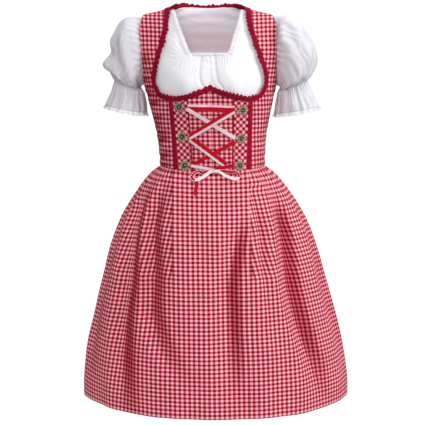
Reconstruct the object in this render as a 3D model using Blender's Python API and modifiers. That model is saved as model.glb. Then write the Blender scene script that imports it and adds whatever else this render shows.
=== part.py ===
"""Dirndl dress over its puff-sleeved blouse, in the shape of a wearer but with no wearer inside.

Metres, +Z up, and the front faces -Y. Left and right are the viewer's, so left is -X. The origin lies
midway between the shoulder seams, where a wearer carries the straps. Every piece is drawn on one general
figure: the bodice lies on it, the blouse lies a little inside it, and the trims are moved out from it.
"""

import math
from typing import NamedTuple

import bmesh
import bpy
from mathutils import Vector

COLLECTION = "dirndl_dress_with_blouse"

# Cloth thicknesses, and the air left between pieces.
SEAM = 0.0003
SEAM_DEGREES = 0.08
SKIRT_SEAM_DEGREES = 0.01
LAYER_AIR = 0.0007
BODICE_CLOTH = 0.0015
SKIRT_CLOTH = 0.0015
BLOUSE_CLOTH = 0.0012
TRIM_CLOTH = 0.0012
BAND_CLOTH = 0.0007
RIBBON_CLOTH = 0.0006
LACE_CLOTH = 0.0010
BLOUSE_INSET = 0.0055

LEFT, RIGHT = -1, 1

# How finely curves are drawn before they are cut into even steps, and slopes are measured.
PROBE_DEGREES = 0.5
PROBE_LEVEL = 0.0008
CURVE_STEPS = 12
FINE_MARKS = 200
WALK_STEPS = 4


class TorsoRow(NamedTuple):
    """The figure under the bodice at one height."""

    z: float
    half_width: float
    front_depth: float
    back_depth: float


TORSO = (
    TorsoRow(0.000, 0.1830, 0.0450, 0.0540),
    TorsoRow(-0.050, 0.1820, 0.0600, 0.0660),
    TorsoRow(-0.090, 0.1790, 0.0780, 0.0830),
    TorsoRow(-0.120, 0.1740, 0.0870, 0.0900),
    TorsoRow(-0.150, 0.1680, 0.0930, 0.0930),
    TorsoRow(-0.190, 0.1585, 0.0985, 0.0940),
    TorsoRow(-0.220, 0.1515, 0.0995, 0.0920),
    TorsoRow(-0.254, 0.1435, 0.0985, 0.0895),
    TorsoRow(-0.288, 0.1358, 0.0965, 0.0865),
    TorsoRow(-0.320, 0.1317, 0.0945, 0.0845),
    TorsoRow(-0.355, 0.1285, 0.0930, 0.0830),
    TorsoRow(-0.390, 0.1275, 0.0925, 0.0825),
)
TORSO_FULLNESS = 2.3

# The straps turn over the shoulder along a quarter arc: its length on the cloth, and its rise.
SHOULDER_ARC = 0.065
SHOULDER_RISE = 0.050
SHOULDER_FADE = 0.070
SHOULDER_TIP_X = 0.1575
NECK_POINT_X = 0.0965
NECK_POINT_Z = 0.0048
SHOULDER_SLOPE = 0.24
BACK_NECK_CORNER_X = 0.078
BACK_NECK_CORNER_LIFT = 0.0050
BACK_NECK_DIP = 0.0040
BACK_STRAP_FROM_X = 0.040
BLOUSE_BACK_SHARES = (0.0, 0.15, 0.26, 0.34, 0.41, 0.48, 0.56, 0.76, 1.0)
BACK_COLUMN_SHARES = (0.0, 0.12, 0.22, 0.29, 0.35, 0.40, 0.44, 0.48, 0.52, 0.57, 0.71, 0.85, 1.0)

BUST_X = 0.068
BUST_Z = -0.168
BUST_FORWARD = 0.0150
BUST_SPREAD_X = 0.050
BUST_SPREAD_Z = 0.052

UNDERARM_Z = -0.190
WAIST_Z = -0.379
WAIST_FRONT_DIP = 0.0070


class SwayRow(NamedTuple):
    """How far the figure stands to the right of the shoulders at one height."""

    z: float
    shift: float


SWAY = (
    SwayRow(0.02, 0.0),
    SwayRow(-0.20, 0.0075),
    SwayRow(-0.38, 0.0125),
    SwayRow(-0.96, 0.0210),
)


class Spot(NamedTuple):
    """A place on the front or the back, seen square on."""

    x: float
    z: float


# The sewn edge of the dress neckline, from the centre front under the cup and up to the neck point.
NECKLINE = (
    Spot(0.000, -0.1805),
    Spot(0.029, -0.1910),
    Spot(0.054, -0.1985),
    Spot(0.080, -0.2040),
    Spot(0.098, -0.2045),
    Spot(0.115, -0.2005),
    Spot(0.1265, -0.1895),
    Spot(0.1325, -0.1745),
    Spot(0.1330, -0.1550),
    Spot(0.1295, -0.1340),
    Spot(0.1235, -0.1135),
    Spot(0.1150, -0.0890),
    Spot(0.1065, -0.0620),
    Spot(0.1005, -0.0350),
    Spot(0.0970, -0.0120),
)
ARMHOLE = (
    Spot(0.1610, -0.1720),
    Spot(0.1615, -0.1500),
    Spot(0.1625, -0.1200),
    Spot(0.1640, -0.0900),
    Spot(0.1655, -0.0700),
    Spot(0.1668, -0.0500),
    Spot(0.1660, -0.0350),
    Spot(0.1620, -0.0200),
)
# The spots of the neckline that lie under the cup, and the first one past the princess band.
NECKLINE_UNDER_CUP = 6
NECKLINE_PAST_BAND = 5
BLOUSE_NECKLINE_SIDE = (
    Spot(0.0450, -0.0975),
    Spot(0.0520, -0.0840),
    Spot(0.0610, -0.0580),
    Spot(0.0730, -0.0240),
)
BLOUSE_NECK_POINT_X = 0.0870
BLOUSE_HEM_Z = -0.245
BLOUSE_TIP_INSET = 0.0080
BLOUSE_UNDERARM_LIFT = 0.0040

# Upright lines of the bodice front: how far out they lie at the neckline and at the waist.
BAND_X_TOP = 0.0965
BAND_X_WAIST = 0.0880
EDGE_X_TOP = 0.0560
EDGE_X_WAIST = 0.0485
BAND_WIDTH = 0.0110
EDGE_WIDTH = 0.0030
UPRIGHT_ROWS = 9
# Shares of one row by which the bands stop short of the waist seam and of the neckline.
BAND_FOOT_SHARE = 0.03
BAND_HEAD_SHARE = 0.45


class SkirtRow(NamedTuple):
    """The skirt before its folds at one height."""

    z: float
    half_width: float
    front_depth: float
    back_depth: float
    fold_share: float
    flatness: float
    roundness: float


SKIRT = (
    SkirtRow(-0.3793, 0.1275, 0.0925, 0.0825, 0.00, 2.30, 2.30),
    SkirtRow(-0.3825, 0.1275, 0.0925, 0.0825, 0.00, 2.30, 2.30),
    SkirtRow(-0.3920, 0.1430, 0.1040, 0.0960, 0.15, 2.25, 2.25),
    SkirtRow(-0.4080, 0.1605, 0.1170, 0.1120, 0.35, 2.20, 2.20),
    SkirtRow(-0.4350, 0.1825, 0.1320, 0.1300, 0.55, 2.15, 2.15),
    SkirtRow(-0.4700, 0.2065, 0.1490, 0.1500, 0.75, 2.10, 2.10),
    SkirtRow(-0.5200, 0.2340, 0.1700, 0.1730, 0.95, 2.10, 2.05),
    SkirtRow(-0.5850, 0.2570, 0.1900, 0.1950, 1.00, 2.15, 1.95),
    SkirtRow(-0.6650, 0.2785, 0.2080, 0.2150, 1.00, 2.25, 1.85),
    SkirtRow(-0.7550, 0.3035, 0.2230, 0.2310, 0.95, 2.35, 1.72),
    SkirtRow(-0.8450, 0.3235, 0.2330, 0.2420, 0.75, 2.45, 1.58),
    SkirtRow(-0.9100, 0.3315, 0.2390, 0.2470, 0.60, 2.55, 1.48),
    SkirtRow(-0.9630, 0.3335, 0.2430, 0.2510, 0.50, 2.60, 1.38),
)
HEM_FRONT_LIFT = -0.0022


class Fold(NamedTuple):
    """A soft valley down the skirt: its course in degrees from the centre front, and its shape."""

    at_waist: float
    at_middle: float
    at_hem: float
    depth: float
    left_width: float
    right_width: float
    from_z: float
    to_z: float


FOLDS = (
    Fold(-84, -72, -68, 0.010, 9.0, 7.0, -0.39, -1.00),
    Fold(-58, -44, -43, 0.016, 9.0, 8.0, -0.39, -1.05),
    Fold(-40, -27, -17, 0.020, 11.0, 5.0, -0.39, -0.92),
    Fold(-10, -6, -7, 0.004, 8.0, 8.0, -0.46, -0.80),
    Fold(22, 14, 10, 0.016, 10.0, 4.5, -0.39, -0.96),
    Fold(36, 26, 27, 0.009, 5.0, 6.0, -0.44, -0.72),
    Fold(58, 47, 54, 0.022, 7.0, 9.0, -0.42, -1.00),
    Fold(82, 72, 76, 0.009, 8.0, 9.0, -0.39, -1.00),
    Fold(104, 101, 99, 0.014, 8.0, 6.0, -0.39, -1.02),
    Fold(121, 124, 122, 0.018, 7.0, 9.0, -0.40, -1.00),
    Fold(140, 147, 143, 0.014, 9.0, 6.0, -0.39, -0.94),
    Fold(160, 165, 167, 0.017, 7.0, 8.0, -0.40, -1.02),
    Fold(-176, -171, -173, 0.015, 8.0, 7.0, -0.39, -0.98),
    Fold(-157, -148, -151, 0.018, 9.0, 6.0, -0.39, -1.02),
    Fold(-138, -127, -125, 0.014, 7.0, 9.0, -0.41, -0.95),
    Fold(-116, -105, -101, 0.017, 8.0, 7.0, -0.39, -1.00),
)
# A fold fades in and out over these heights, and runs out at this many widths from its middle.
FOLD_FADE_IN = 0.10
FOLD_FADE_OUT = 0.22
FOLD_SPREAD = 1.5


class SeamRow(NamedTuple):
    """How far right of the figure's middle a skirt seam lies at one height."""

    z: float
    x: float


# The front seams run down the crests beside the two middle folds.
FRONT_SEAM_LEFT = (
    SeamRow(-0.3793, -0.0975),
    SeamRow(-0.4700, -0.0985),
    SeamRow(-0.6200, -0.0995),
    SeamRow(-0.8000, -0.0985),
    SeamRow(-0.8700, -0.0880),
    SeamRow(-0.9630, -0.0800),
)
FRONT_SEAM_RIGHT = (
    SeamRow(-0.3793, 0.0860),
    SeamRow(-0.4700, 0.0880),
    SeamRow(-0.6200, 0.0900),
    SeamRow(-0.7600, 0.0880),
    SeamRow(-0.8700, 0.0840),
    SeamRow(-0.9630, 0.0800),
)
BACK_SEAM = 176.0
FRONT_SIDE_COLUMNS = 14
FRONT_MIDDLE_COLUMNS = 14
BACK_COLUMNS = 16


class SleeveRow(NamedTuple):
    """One hoop of a puff sleeve: its outer and inner ends seen from the front, and its half depth."""

    outer_x: float
    outer_z: float
    inner_x: float
    inner_z: float
    half_depth: float
    gather: float


SLEEVE_RIGHT = (
    SleeveRow(0.1780, -0.0125, 0.1680, -0.1840, 0.0530, 0.0000),
    SleeveRow(0.2000, -0.0145, 0.1705, -0.1860, 0.0600, 0.0008),
    SleeveRow(0.2215, -0.0265, 0.1715, -0.1880, 0.0640, 0.0005),
    SleeveRow(0.2405, -0.0460, 0.1720, -0.1900, 0.0660, 0.0000),
    SleeveRow(0.2565, -0.0750, 0.1720, -0.1910, 0.0660, 0.0000),
    SleeveRow(0.2645, -0.1050, 0.1720, -0.1920, 0.0640, 0.0005),
    SleeveRow(0.2610, -0.1320, 0.1715, -0.1930, 0.0600, 0.0012),
    SleeveRow(0.2510, -0.1530, 0.1710, -0.1940, 0.0530, 0.0018),
    SleeveRow(0.2400, -0.1710, 0.1705, -0.1950, 0.0445, 0.0022),
    SleeveRow(0.2470, -0.1900, 0.1685, -0.2090, 0.0490, 0.0025),
    SleeveRow(0.2570, -0.2120, 0.1640, -0.2300, 0.0550, 0.0030),
    SleeveRow(0.2670, -0.2325, 0.1590, -0.2520, 0.0600, 0.0033),
)
SLEEVE_LEFT = (
    SleeveRow(0.1800, -0.0180, 0.1680, -0.1840, 0.0530, 0.0000),
    SleeveRow(0.2035, -0.0170, 0.1705, -0.1860, 0.0600, 0.0008),
    SleeveRow(0.2180, -0.0310, 0.1715, -0.1880, 0.0640, 0.0005),
    SleeveRow(0.2310, -0.0520, 0.1720, -0.1900, 0.0660, 0.0000),
    SleeveRow(0.2410, -0.0740, 0.1720, -0.1910, 0.0660, 0.0000),
    SleeveRow(0.2420, -0.1020, 0.1720, -0.1920, 0.0640, 0.0005),
    SleeveRow(0.2590, -0.1310, 0.1715, -0.1930, 0.0600, 0.0012),
    SleeveRow(0.2480, -0.1520, 0.1710, -0.1940, 0.0530, 0.0018),
    SleeveRow(0.2365, -0.1710, 0.1705, -0.1950, 0.0445, 0.0022),
    SleeveRow(0.2440, -0.1900, 0.1685, -0.2090, 0.0490, 0.0025),
    SleeveRow(0.2550, -0.2130, 0.1640, -0.2300, 0.0550, 0.0030),
    SleeveRow(0.2650, -0.2340, 0.1590, -0.2520, 0.0600, 0.0033),
)
SLEEVE_COLUMNS = 28
SLEEVE_GATHERS = 14
CUFF_LACE_WIDTH = 0.0100
CUFF_LACE_FLARE = 0.0020
# The first two hoops of a sleeve, at the armhole: how far past the armhole edge of the dress they lie,
# and how far out of the figure.
SLEEVE_ROOT = ((0.0025 - BLOUSE_TIP_INSET, -BLOUSE_INSET), (0.0015, -0.0040))
SLEEVE_UNDERARM_LIFT = 0.0100

# The ruffled trim round the neckline: the band sewn on the dress, and the scallops past its edge.
TRIM_ON_CLOTH = 0.0090
TRIM_WITHIN = 0.0036
BACK_TRIM_AIR = 0.0018
BACK_TRIM_STEPS = 16
TRIM_GAP_DEGREES = 1.0
SCALLOP_REACH = 0.0050
SCALLOP_LENGTH = 0.0200
SCALLOP_STEPS = 4
SCALLOP_VALLEY_SHARE = 0.25
SCALLOP_LIFT = 0.0012
NECK_LACE_WIDTH = 0.0085
NECK_LACE_PROUD = 0.0020
NECK_LACE_SHORT = 0.0050

BUTTON_RADIUS = 0.0130
BUTTON_HEIGHT = 0.0034
BUTTON_PETALS = 8
BUTTON_PETAL_DEPTH = 0.13
BUTTON_AIR = 0.0005
# Across the button, as shares: how far out each ring lies, and how high.
BUTTON_PROFILE = ((0.38, 1.0), (0.58, 0.62), (0.82, 0.85), (1.0, 0.0))
BUTTON_CROWN = 0.9


class Button(NamedTuple):
    """A rosette button on a placket."""

    name: str
    x: float
    z: float


BUTTONS = (
    Button("button_left_top", -0.0761, -0.2275),
    Button("button_left_middle", -0.0710, -0.3005),
    Button("button_left_bottom", -0.0663, -0.3710),
    Button("button_right_top", 0.0761, -0.2355),
    Button("button_right_middle", 0.0710, -0.3053),
    Button("button_right_bottom", 0.0663, -0.3714),
)


class Lace(NamedTuple):
    """A straight stretch of lacing ribbon over the bodice front, as its middle line."""

    name: str
    from_x: float
    from_z: float
    to_x: float
    to_z: float
    width: float
    layer: int
    tone: str


LACING = (
    Lace("lacing_top_pale", -0.0560, -0.2235, 0.0575, -0.2270, 0.0050, 0, "pale"),
    Lace("lacing_top_red", -0.0560, -0.2310, 0.0575, -0.2345, 0.0090, 0, "red"),
    Lace("lacing_upper_down_pale", -0.0575, -0.2310, 0.0560, -0.3040, 0.0085, 1, "pale"),
    Lace("lacing_upper_up_red", -0.0530, -0.2975, 0.0570, -0.2310, 0.0058, 2, "red"),
    Lace("lacing_upper_up_pale", -0.0530, -0.3040, 0.0570, -0.2375, 0.0048, 2, "pale"),
    Lace("lacing_lower_down_red", -0.0530, -0.2985, 0.0345, -0.3670, 0.0085, 1, "red"),
    Lace("lacing_lower_down_pale", -0.0540, -0.3085, 0.0315, -0.3750, 0.0058, 1, "pale"),
    Lace("lacing_lower_up_red", -0.0480, -0.3690, 0.0550, -0.3125, 0.0085, 0, "red"),
    Lace("lacing_bottom_left", -0.0510, -0.3710, -0.0075, -0.3790, 0.0070, 2, "pale"),
    Lace("lacing_bottom_right", 0.0115, -0.3780, 0.0510, -0.3700, 0.0080, 2, "red"),
)
LACING_STEPS = 9
LACING_AIR = 0.0019
LACING_BASE = BODICE_CLOTH + LACING_AIR
LACING_LAYER = RIBBON_CLOTH + 0.0005

KNOT = Spot(0.0025, -0.3840)
KNOT_SIZE = (0.0062, 0.0042, 0.0052)
KNOT_AIR = 0.0004


class BowPoint(NamedTuple):
    """A place along a bow ribbon's middle line: where it lies from the front, and how far it stands out."""

    x: float
    z: float
    stand: float


class BowRibbon(NamedTuple):
    """A ribbon of the bow."""

    name: str
    width: float
    tone: str
    course: tuple


BOW = (
    BowRibbon(
        "bow_loop_left_red",
        0.0085,
        "red",
        (
            BowPoint(-0.0060, -0.3870, 0.0050),
            BowPoint(-0.0180, -0.3900, 0.0045),
            BowPoint(-0.0330, -0.3950, 0.0035),
            BowPoint(-0.0455, -0.4000, 0.0035),
            BowPoint(-0.0485, -0.4045, 0.0060),
            BowPoint(-0.0390, -0.4060, 0.0085),
            BowPoint(-0.0210, -0.3970, 0.0095),
            BowPoint(-0.0065, -0.3890, 0.0095),
        ),
    ),
    BowRibbon(
        "bow_loop_right_pale",
        0.0075,
        "pale",
        (
            BowPoint(0.0110, -0.3870, 0.0050),
            BowPoint(0.0260, -0.3885, 0.0045),
            BowPoint(0.0450, -0.3925, 0.0040),
            BowPoint(0.0590, -0.3970, 0.0040),
            BowPoint(0.0630, -0.4030, 0.0060),
            BowPoint(0.0530, -0.4080, 0.0085),
            BowPoint(0.0310, -0.4010, 0.0095),
            BowPoint(0.0115, -0.3900, 0.0095),
        ),
    ),
    BowRibbon(
        "bow_tail_left_red",
        0.0080,
        "red",
        (
            BowPoint(-0.0420, -0.4130, 0.0010),
            BowPoint(-0.0430, -0.4220, 0.0011),
            BowPoint(-0.0450, -0.4310, 0.0014),
            BowPoint(-0.0465, -0.4400, 0.0020),
        ),
    ),
)
BOW_STEPS = 16

COLOURS = {
    "gingham": (0.60, 0.09, 0.13),
    "trim": (0.32, 0.005, 0.03),
    "red": (0.66, 0.008, 0.03),
    "pale": (0.88, 0.62, 0.68),
    "blouse": (0.84, 0.84, 0.87),
    "lace": (0.80, 0.79, 0.81),
    "metal": (0.30, 0.30, 0.27),
}
ROUGHNESS = {"red": 0.35, "pale": 0.35, "metal": 0.40}
METALLIC = {"metal": 0.9}


def smooth(share):
    """Ease from 0 to 1 as the share goes from 0 to 1."""
    share = min(max(share, 0.0), 1.0)
    return share * share * (3.0 - 2.0 * share)


def blend(first, second, share):
    return first + (second - first) * share


def read(rows, column, z):
    """Read a table's column at a height, on a smooth curve through its rows."""
    keys = [-row.z for row in rows]
    values = [getattr(row, column) for row in rows]
    key = min(max(-z, keys[0]), keys[-1])
    last = len(keys) - 2
    at = next((i for i in range(last + 1) if key <= keys[i + 1]), last)
    slopes = []
    for i in (at, at + 1):
        low, high = max(i - 1, 0), min(i + 1, last + 1)
        slopes.append((values[high] - values[low]) / (keys[high] - keys[low]))
    span = keys[at + 1] - keys[at]
    share = (key - keys[at]) / span
    ease = smooth(share)
    start = share * (1.0 - share) ** 2 * span * slopes[0]
    end = share**2 * (share - 1.0) * span * slopes[1]
    return blend(values[at], values[at + 1], ease) + start + end


def sway(point):
    """Move a point sideways with the figure's stance."""
    return Vector((point[0] + read(SWAY, "shift", point[2]), point[1], point[2]))


def spaced(items, places, count):
    """Return count items, in even steps of the length along their places."""
    lengths = [0.0]
    for start, stop in zip(places, places[1:]):
        lengths.append(lengths[-1] + (stop - start).length)
    even = []
    at = 0
    for i in range(count):
        want = lengths[-1] * i / (count - 1)
        while at < len(items) - 2 and lengths[at + 1] < want:
            at += 1
        share = (want - lengths[at]) / (lengths[at + 1] - lengths[at])
        even.append(items[at].lerp(items[at + 1], min(share, 1.0)))
    return even


def curve_through(points, count):
    """Return count points, evenly spaced, on a smooth curve through the points."""
    ends = [2 * points[0] - points[1], *points, 2 * points[-1] - points[-2]]
    fine = []
    for before, start, stop, after in zip(ends, ends[1:], ends[2:], ends[3:]):
        for step in range(CURVE_STEPS):
            t = step / CURVE_STEPS
            bend = (2 * before - 5 * start + 4 * stop - after) * t * t
            turn = (3 * start - before - 3 * stop + after) * t**3
            fine.append(0.5 * (2 * start + (stop - before) * t + bend + turn))
    fine.append(points[-1])
    return spaced(fine, fine, count)


# ---- the figure: a mark is (angle, level), with the angle in degrees from the centre front and the
# level in metres above the line where the straps start to turn over the shoulder


def shoulder_line(x):
    """Height of the shoulder ridge, and of the back neckline between the straps."""
    x = abs(x)
    slope = SHOULDER_SLOPE * max(x - NECK_POINT_X, 0.0)
    corner = smooth((NECK_POINT_X - x) / (NECK_POINT_X - BACK_NECK_CORNER_X))
    dip = smooth((BACK_NECK_CORNER_X - x) / BACK_NECK_CORNER_X)
    return NECK_POINT_Z - slope + BACK_NECK_CORNER_LIFT * corner - BACK_NECK_DIP * dip


def shoulder_turn(level):
    """How far the cloth has turned over the shoulder at a level, up to a quarter turn at the ridge."""
    return min(max(level, 0.0) / SHOULDER_ARC, 1.0) * math.pi / 2


def height_of(level):
    """Height of a level below the shoulder ridge."""
    if level <= 0.0:
        return level - SHOULDER_RISE
    return -SHOULDER_RISE * (1.0 - math.sin(shoulder_turn(level)))


def skin(angle, level):
    """The figure's surface under the bodice at a mark."""
    front = math.cos(math.radians(angle)) >= 0.0
    across = math.sin(math.radians(angle))
    turn = shoulder_turn(level)
    height = height_of(level)
    x = read(TORSO, "half_width", height) * across
    bow = (1.0 - abs(across) ** TORSO_FULLNESS) ** (1.0 / TORSO_FULLNESS)
    strap = 1.0 if front else smooth((abs(x) - BACK_STRAP_FROM_X) / (NECK_POINT_X - BACK_STRAP_FROM_X))
    ridge = shoulder_line(x)
    if level > 0.0:
        z = ridge + blend(SHOULDER_RISE * (level / SHOULDER_ARC - 1.0), height, strap)
    else:
        z = ridge * max(0.0, 1.0 + level / SHOULDER_FADE) + height
    if front:
        depth = read(TORSO, "front_depth", height)
        cup = ((abs(x) - BUST_X) / BUST_SPREAD_X) ** 2 + ((z - BUST_Z) / BUST_SPREAD_Z) ** 2
        bust = BUST_FORWARD * math.exp(-cup) * bow
        return Vector((x, -SEAM / 2 - depth * bow * math.cos(turn) - bust, z))
    depth = read(TORSO, "back_depth", height)
    return Vector((x, SEAM / 2 + depth * bow * (1.0 - strap * (1.0 - math.cos(turn))), z))


def tangents(angle, level):
    """How the surface runs at a mark, per degree round the body and per metre of level."""
    level = min(level, SHOULDER_ARC - PROBE_LEVEL)
    around = skin(angle + PROBE_DEGREES, level) - skin(angle - PROBE_DEGREES, level)
    upward = skin(angle, level + PROBE_LEVEL) - skin(angle, level - PROBE_LEVEL)
    return around / (2 * PROBE_DEGREES), upward / (2 * PROBE_LEVEL)


def torso_normal(angle, level):
    around, upward = tangents(angle, level)
    return around.cross(upward).normalized()


def torso_point(angle, level, outward=0.0):
    """A point on the figure, moved out of it by a distance."""
    return skin(angle, level) + torso_normal(angle, level) * outward


def mark_of(x, z, back=False):
    """The mark of a place on the front or the back, seen square on."""
    ridge = shoulder_line(x)
    if z > ridge - SHOULDER_RISE:
        turn = math.asin(min(1.0, 1.0 + (z - ridge) / SHOULDER_RISE))
        level = SHOULDER_ARC * turn / (math.pi / 2)
    else:
        level = (z + SHOULDER_RISE - ridge) / (1.0 + ridge / SHOULDER_FADE)
        if level < -SHOULDER_FADE:
            level = z + SHOULDER_RISE
    half_width = read(TORSO, "half_width", height_of(level))
    angle = math.degrees(math.asin(min(1.0, abs(x) / half_width)))
    angle = math.copysign(angle, x)
    if back:
        angle = math.copysign(180.0, x) - angle
    return Vector((angle, level))


def side_mark(z):
    return Vector((90.0, z + SHOULDER_RISE))


def ridge_mark(x):
    """The mark on the shoulder ridge at a distance from the centre."""
    return Vector((mark_of(x, SHOULDER_RISE).x, SHOULDER_ARC))


def marks_through(marks, count):
    """Return count marks, evenly spaced on the cloth, on a smooth curve through the marks."""
    fine = curve_through(marks, FINE_MARKS)
    return spaced(fine, [skin(*mark) for mark in fine], count)


def waist_z(angle):
    """Height of the waist seam, which dips at the centre front."""
    front = max(math.cos(math.radians(angle)), 0.0)
    return WAIST_Z - WAIST_FRONT_DIP * front * front


def waist_marks(start, stop, count):
    """Return count marks along the waist seam, between two angles."""
    angles = [blend(start, stop, i / (count - 1)) for i in range(count)]
    return [Vector((angle, waist_z(angle) + SHOULDER_RISE)) for angle in angles]


def side_edge(count_seam, count_armhole, back=False):
    """The side seam up to the underarm, then the armhole up to the shoulder tip."""
    heights = [blend(WAIST_Z, UNDERARM_Z, i / (count_seam - 1)) for i in range(count_seam)]
    seam = [side_mark(z) for z in heights]
    armhole = [side_mark(UNDERARM_Z), *[mark_of(*spot) for spot in ARMHOLE], ridge_mark(SHOULDER_TIP_X)]
    marks = seam[:-1] + marks_through(armhole, count_armhole)
    return behind(marks) if back else marks


def behind(marks):
    """The same edge on the back, a seam gap away from the front."""
    return [Vector((180.0 - mark.x + SEAM_DEGREES, mark.y)) for mark in marks]


def patch(bottom, top, inner, outer, outward):
    """Fill the space between four edges, given as marks, and return rows of points."""
    rows, columns = len(inner), len(bottom)
    grid = []
    for j in range(rows):
        t = j / (rows - 1)
        row = []
        for i in range(columns):
            s = (bottom[i].x - bottom[0].x) / (bottom[-1].x - bottom[0].x)
            between = bottom[i].lerp(top[i], t) + inner[j].lerp(outer[j], s)
            corners = bottom[0].lerp(bottom[-1], s).lerp(top[0].lerp(top[-1], s), t)
            row.append(torso_point(*(between - corners), outward))
        grid.append(row)
    return grid


def mirrored(grid, side):
    """Return the grid for the right side, or its mirror image for the left."""
    if side == RIGHT:
        return grid
    return [[Vector((-point.x, point.y, point.z)) for point in reversed(row)] for row in grid]


# ---- making objects


def material(name):
    made = bpy.data.materials.get(name) or bpy.data.materials.new(name)
    made.use_nodes = True
    shader = made.node_tree.nodes["Principled BSDF"]
    shader.inputs["Base Color"].default_value = (*COLOURS[name], 1.0)
    shader.inputs["Roughness"].default_value = ROUGHNESS.get(name, 0.85)
    shader.inputs["Metallic"].default_value = METALLIC.get(name, 0.0)
    return made


def new_object(name, shape, tone):
    """Turn a bmesh into a shaded object in the collection."""
    mesh = bpy.data.meshes.new(name)
    shape.to_mesh(mesh)
    shape.free()
    mesh.materials.append(material(tone))
    mesh.shade_smooth()
    made = bpy.data.objects.new(name, mesh)
    bpy.data.collections[COLLECTION].objects.link(made)
    return made


def cloth(name, grid, thickness, tone, ring=False):
    """A wall of cloth whose inner face runs through the grid's points."""
    shape = bmesh.new()
    rows = [[shape.verts.new(sway(point)) for point in row] for row in grid]
    columns = len(rows[0])
    for low, high in zip(rows, rows[1:]):
        for i in range(columns if ring else columns - 1):
            after = (i + 1) % columns
            shape.faces.new((low[i], low[after], high[after], high[i]))
    made = new_object(name, shape, tone)
    wall = made.modifiers.new("wall", "SOLIDIFY")
    wall.thickness = thickness
    wall.offset = 1.0
    return made


def walk(mark, heading, distance):
    """Move a mark over the figure in a heading, a short step at a time."""
    for _ in range(WALK_STEPS):
        around, upward = tangents(*mark)
        move = heading * (distance / WALK_STEPS)
        wide, tall, skew = around.dot(around), upward.dot(upward), around.dot(upward)
        sideways, upwards = move.dot(around), move.dot(upward)
        area = wide * tall - skew * skew
        turned = (sideways * tall - upwards * skew) / area
        climbed = (upwards * wide - sideways * skew) / area
        mark = Vector((mark.x + turned, min(mark.y + climbed, SHOULDER_ARC)))
        normal = torso_normal(*mark)
        heading = (heading - normal * heading.dot(normal)).normalized()
    return mark


def strip_on_figure(marks, edges):
    """Rows of points along a line of marks; edges(step) gives (distance across, distance out) pairs.

    Distances across are positive to the left of the line's way, and positive ones leave the figure
    straight on, as a free edge does.
    """
    middle = [skin(*mark) for mark in marks]
    last = len(marks) - 1
    grid = [[] for _ in edges(0)]
    for i, mark in enumerate(marks):
        normal = torso_normal(*mark)
        along = middle[min(i + 1, last)] - middle[max(i - 1, 0)]
        across = normal.cross(along).normalized()
        for row, (aside, outward) in zip(grid, edges(i)):
            if aside < 0.0:
                row.append(torso_point(*walk(mark, -across, -aside), outward))
            else:
                row.append(middle[i] + across * aside + normal * outward)
    return grid


# ---- bodice


def neckline_marks():
    """The sewn neckline of the right half, from the centre front to the neck point."""
    return [*[mark_of(*spot) for spot in NECKLINE], ridge_mark(NECK_POINT_X)]


def neckline_z(x):
    """Height of the low front of the neckline at a distance from the centre."""
    spots = NECKLINE[:NECKLINE_UNDER_CUP]
    for start, stop in zip(spots, spots[1:]):
        if x <= stop.x:
            return blend(start.z, stop.z, (x - start.x) / (stop.x - start.x))
    return spots[-1].z


def upright_x(x_waist, x_top, z):
    """How far out an upright line of the bodice front lies at a height."""
    return blend(x_waist, x_top, (z - WAIST_Z) / (NECKLINE[3].z - WAIST_Z))


def upright(x_waist, x_top, count):
    """Marks up an upright line of the bodice front, from the waist seam to the neckline."""
    foot = mark_of(x_waist, WAIST_Z - WAIST_FRONT_DIP)
    low, high = waist_z(foot.x), neckline_z(x_top)
    heights = [blend(low, high, i / (count - 1)) for i in range(count)]
    return [mark_of(upright_x(x_waist, x_top, z), z) for z in heights]


def shifted(marks, degrees):
    """Draw an edge round the body by some degrees, which leaves a seam gap to its neighbour."""
    return [Vector((mark.x + degrees, mark.y)) for mark in marks]


def front_piece(name, inner, outer, columns, tone, side):
    """A piece of the bodice front between two upright lines, closed by the waist seam and the neckline."""
    inner = shifted(inner, SEAM_DEGREES)
    outer = shifted(outer, -SEAM_DEGREES)
    bottom = waist_marks(inner[0].x, outer[0].x, columns)
    top = []
    for i in range(columns):
        mark = inner[-1].lerp(outer[-1], i / (columns - 1))
        x = skin(*mark).x
        top.append(Vector((mark.x, mark_of(x, neckline_z(x)).y)))
    grid = patch(bottom, top, inner, outer, 0.0)
    return cloth(name, mirrored(grid, side), BODICE_CLOTH, tone)


def side_front(name, side):
    """The side front with its strap, from the waist seam to the shoulder ridge."""
    seam_rows, strap_rows, columns = 6, 15, 6
    line = upright(BAND_X_WAIST, BAND_X_TOP, seam_rows)
    edge = [line[-1], *neckline_marks()[NECKLINE_PAST_BAND:]]
    inner = shifted(line[:-1] + marks_through(edge, strap_rows), SEAM_DEGREES)
    outer = side_edge(seam_rows, strap_rows)
    bottom = waist_marks(inner[0].x, 90.0, columns)
    top = [inner[-1].lerp(outer[-1], i / (columns - 1)) for i in range(columns)]
    grid = patch(bottom, top, inner, outer, 0.0)
    return cloth(name, mirrored(grid, side), BODICE_CLOTH, "gingham")


def both_halves(half):
    """Join a right half, whose first column is on the centre line, to its mirror image."""
    whole = []
    for row in half:
        other = [Vector((-point.x, point.y, point.z)) for point in row[1:]]
        whole.append(row[::-1] + other)
    return whole


def back_half(outer, bottom_level, shares, outward):
    """Rows of points of the right half of a back, with columns at shares of the way to its side edge."""
    bottom = [Vector((blend(180.0, outer[0].x, share), bottom_level)) for share in shares]
    top = [Vector((blend(180.0, outer[-1].x, share), SHOULDER_ARC)) for share in shares]
    inner = []
    for mark in outer:
        share = (mark.y - outer[0].y) / (outer[-1].y - outer[0].y)
        inner.append(Vector((180.0, blend(bottom_level, SHOULDER_ARC, share))))
    return patch(bottom, top, inner, outer, outward)


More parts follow.
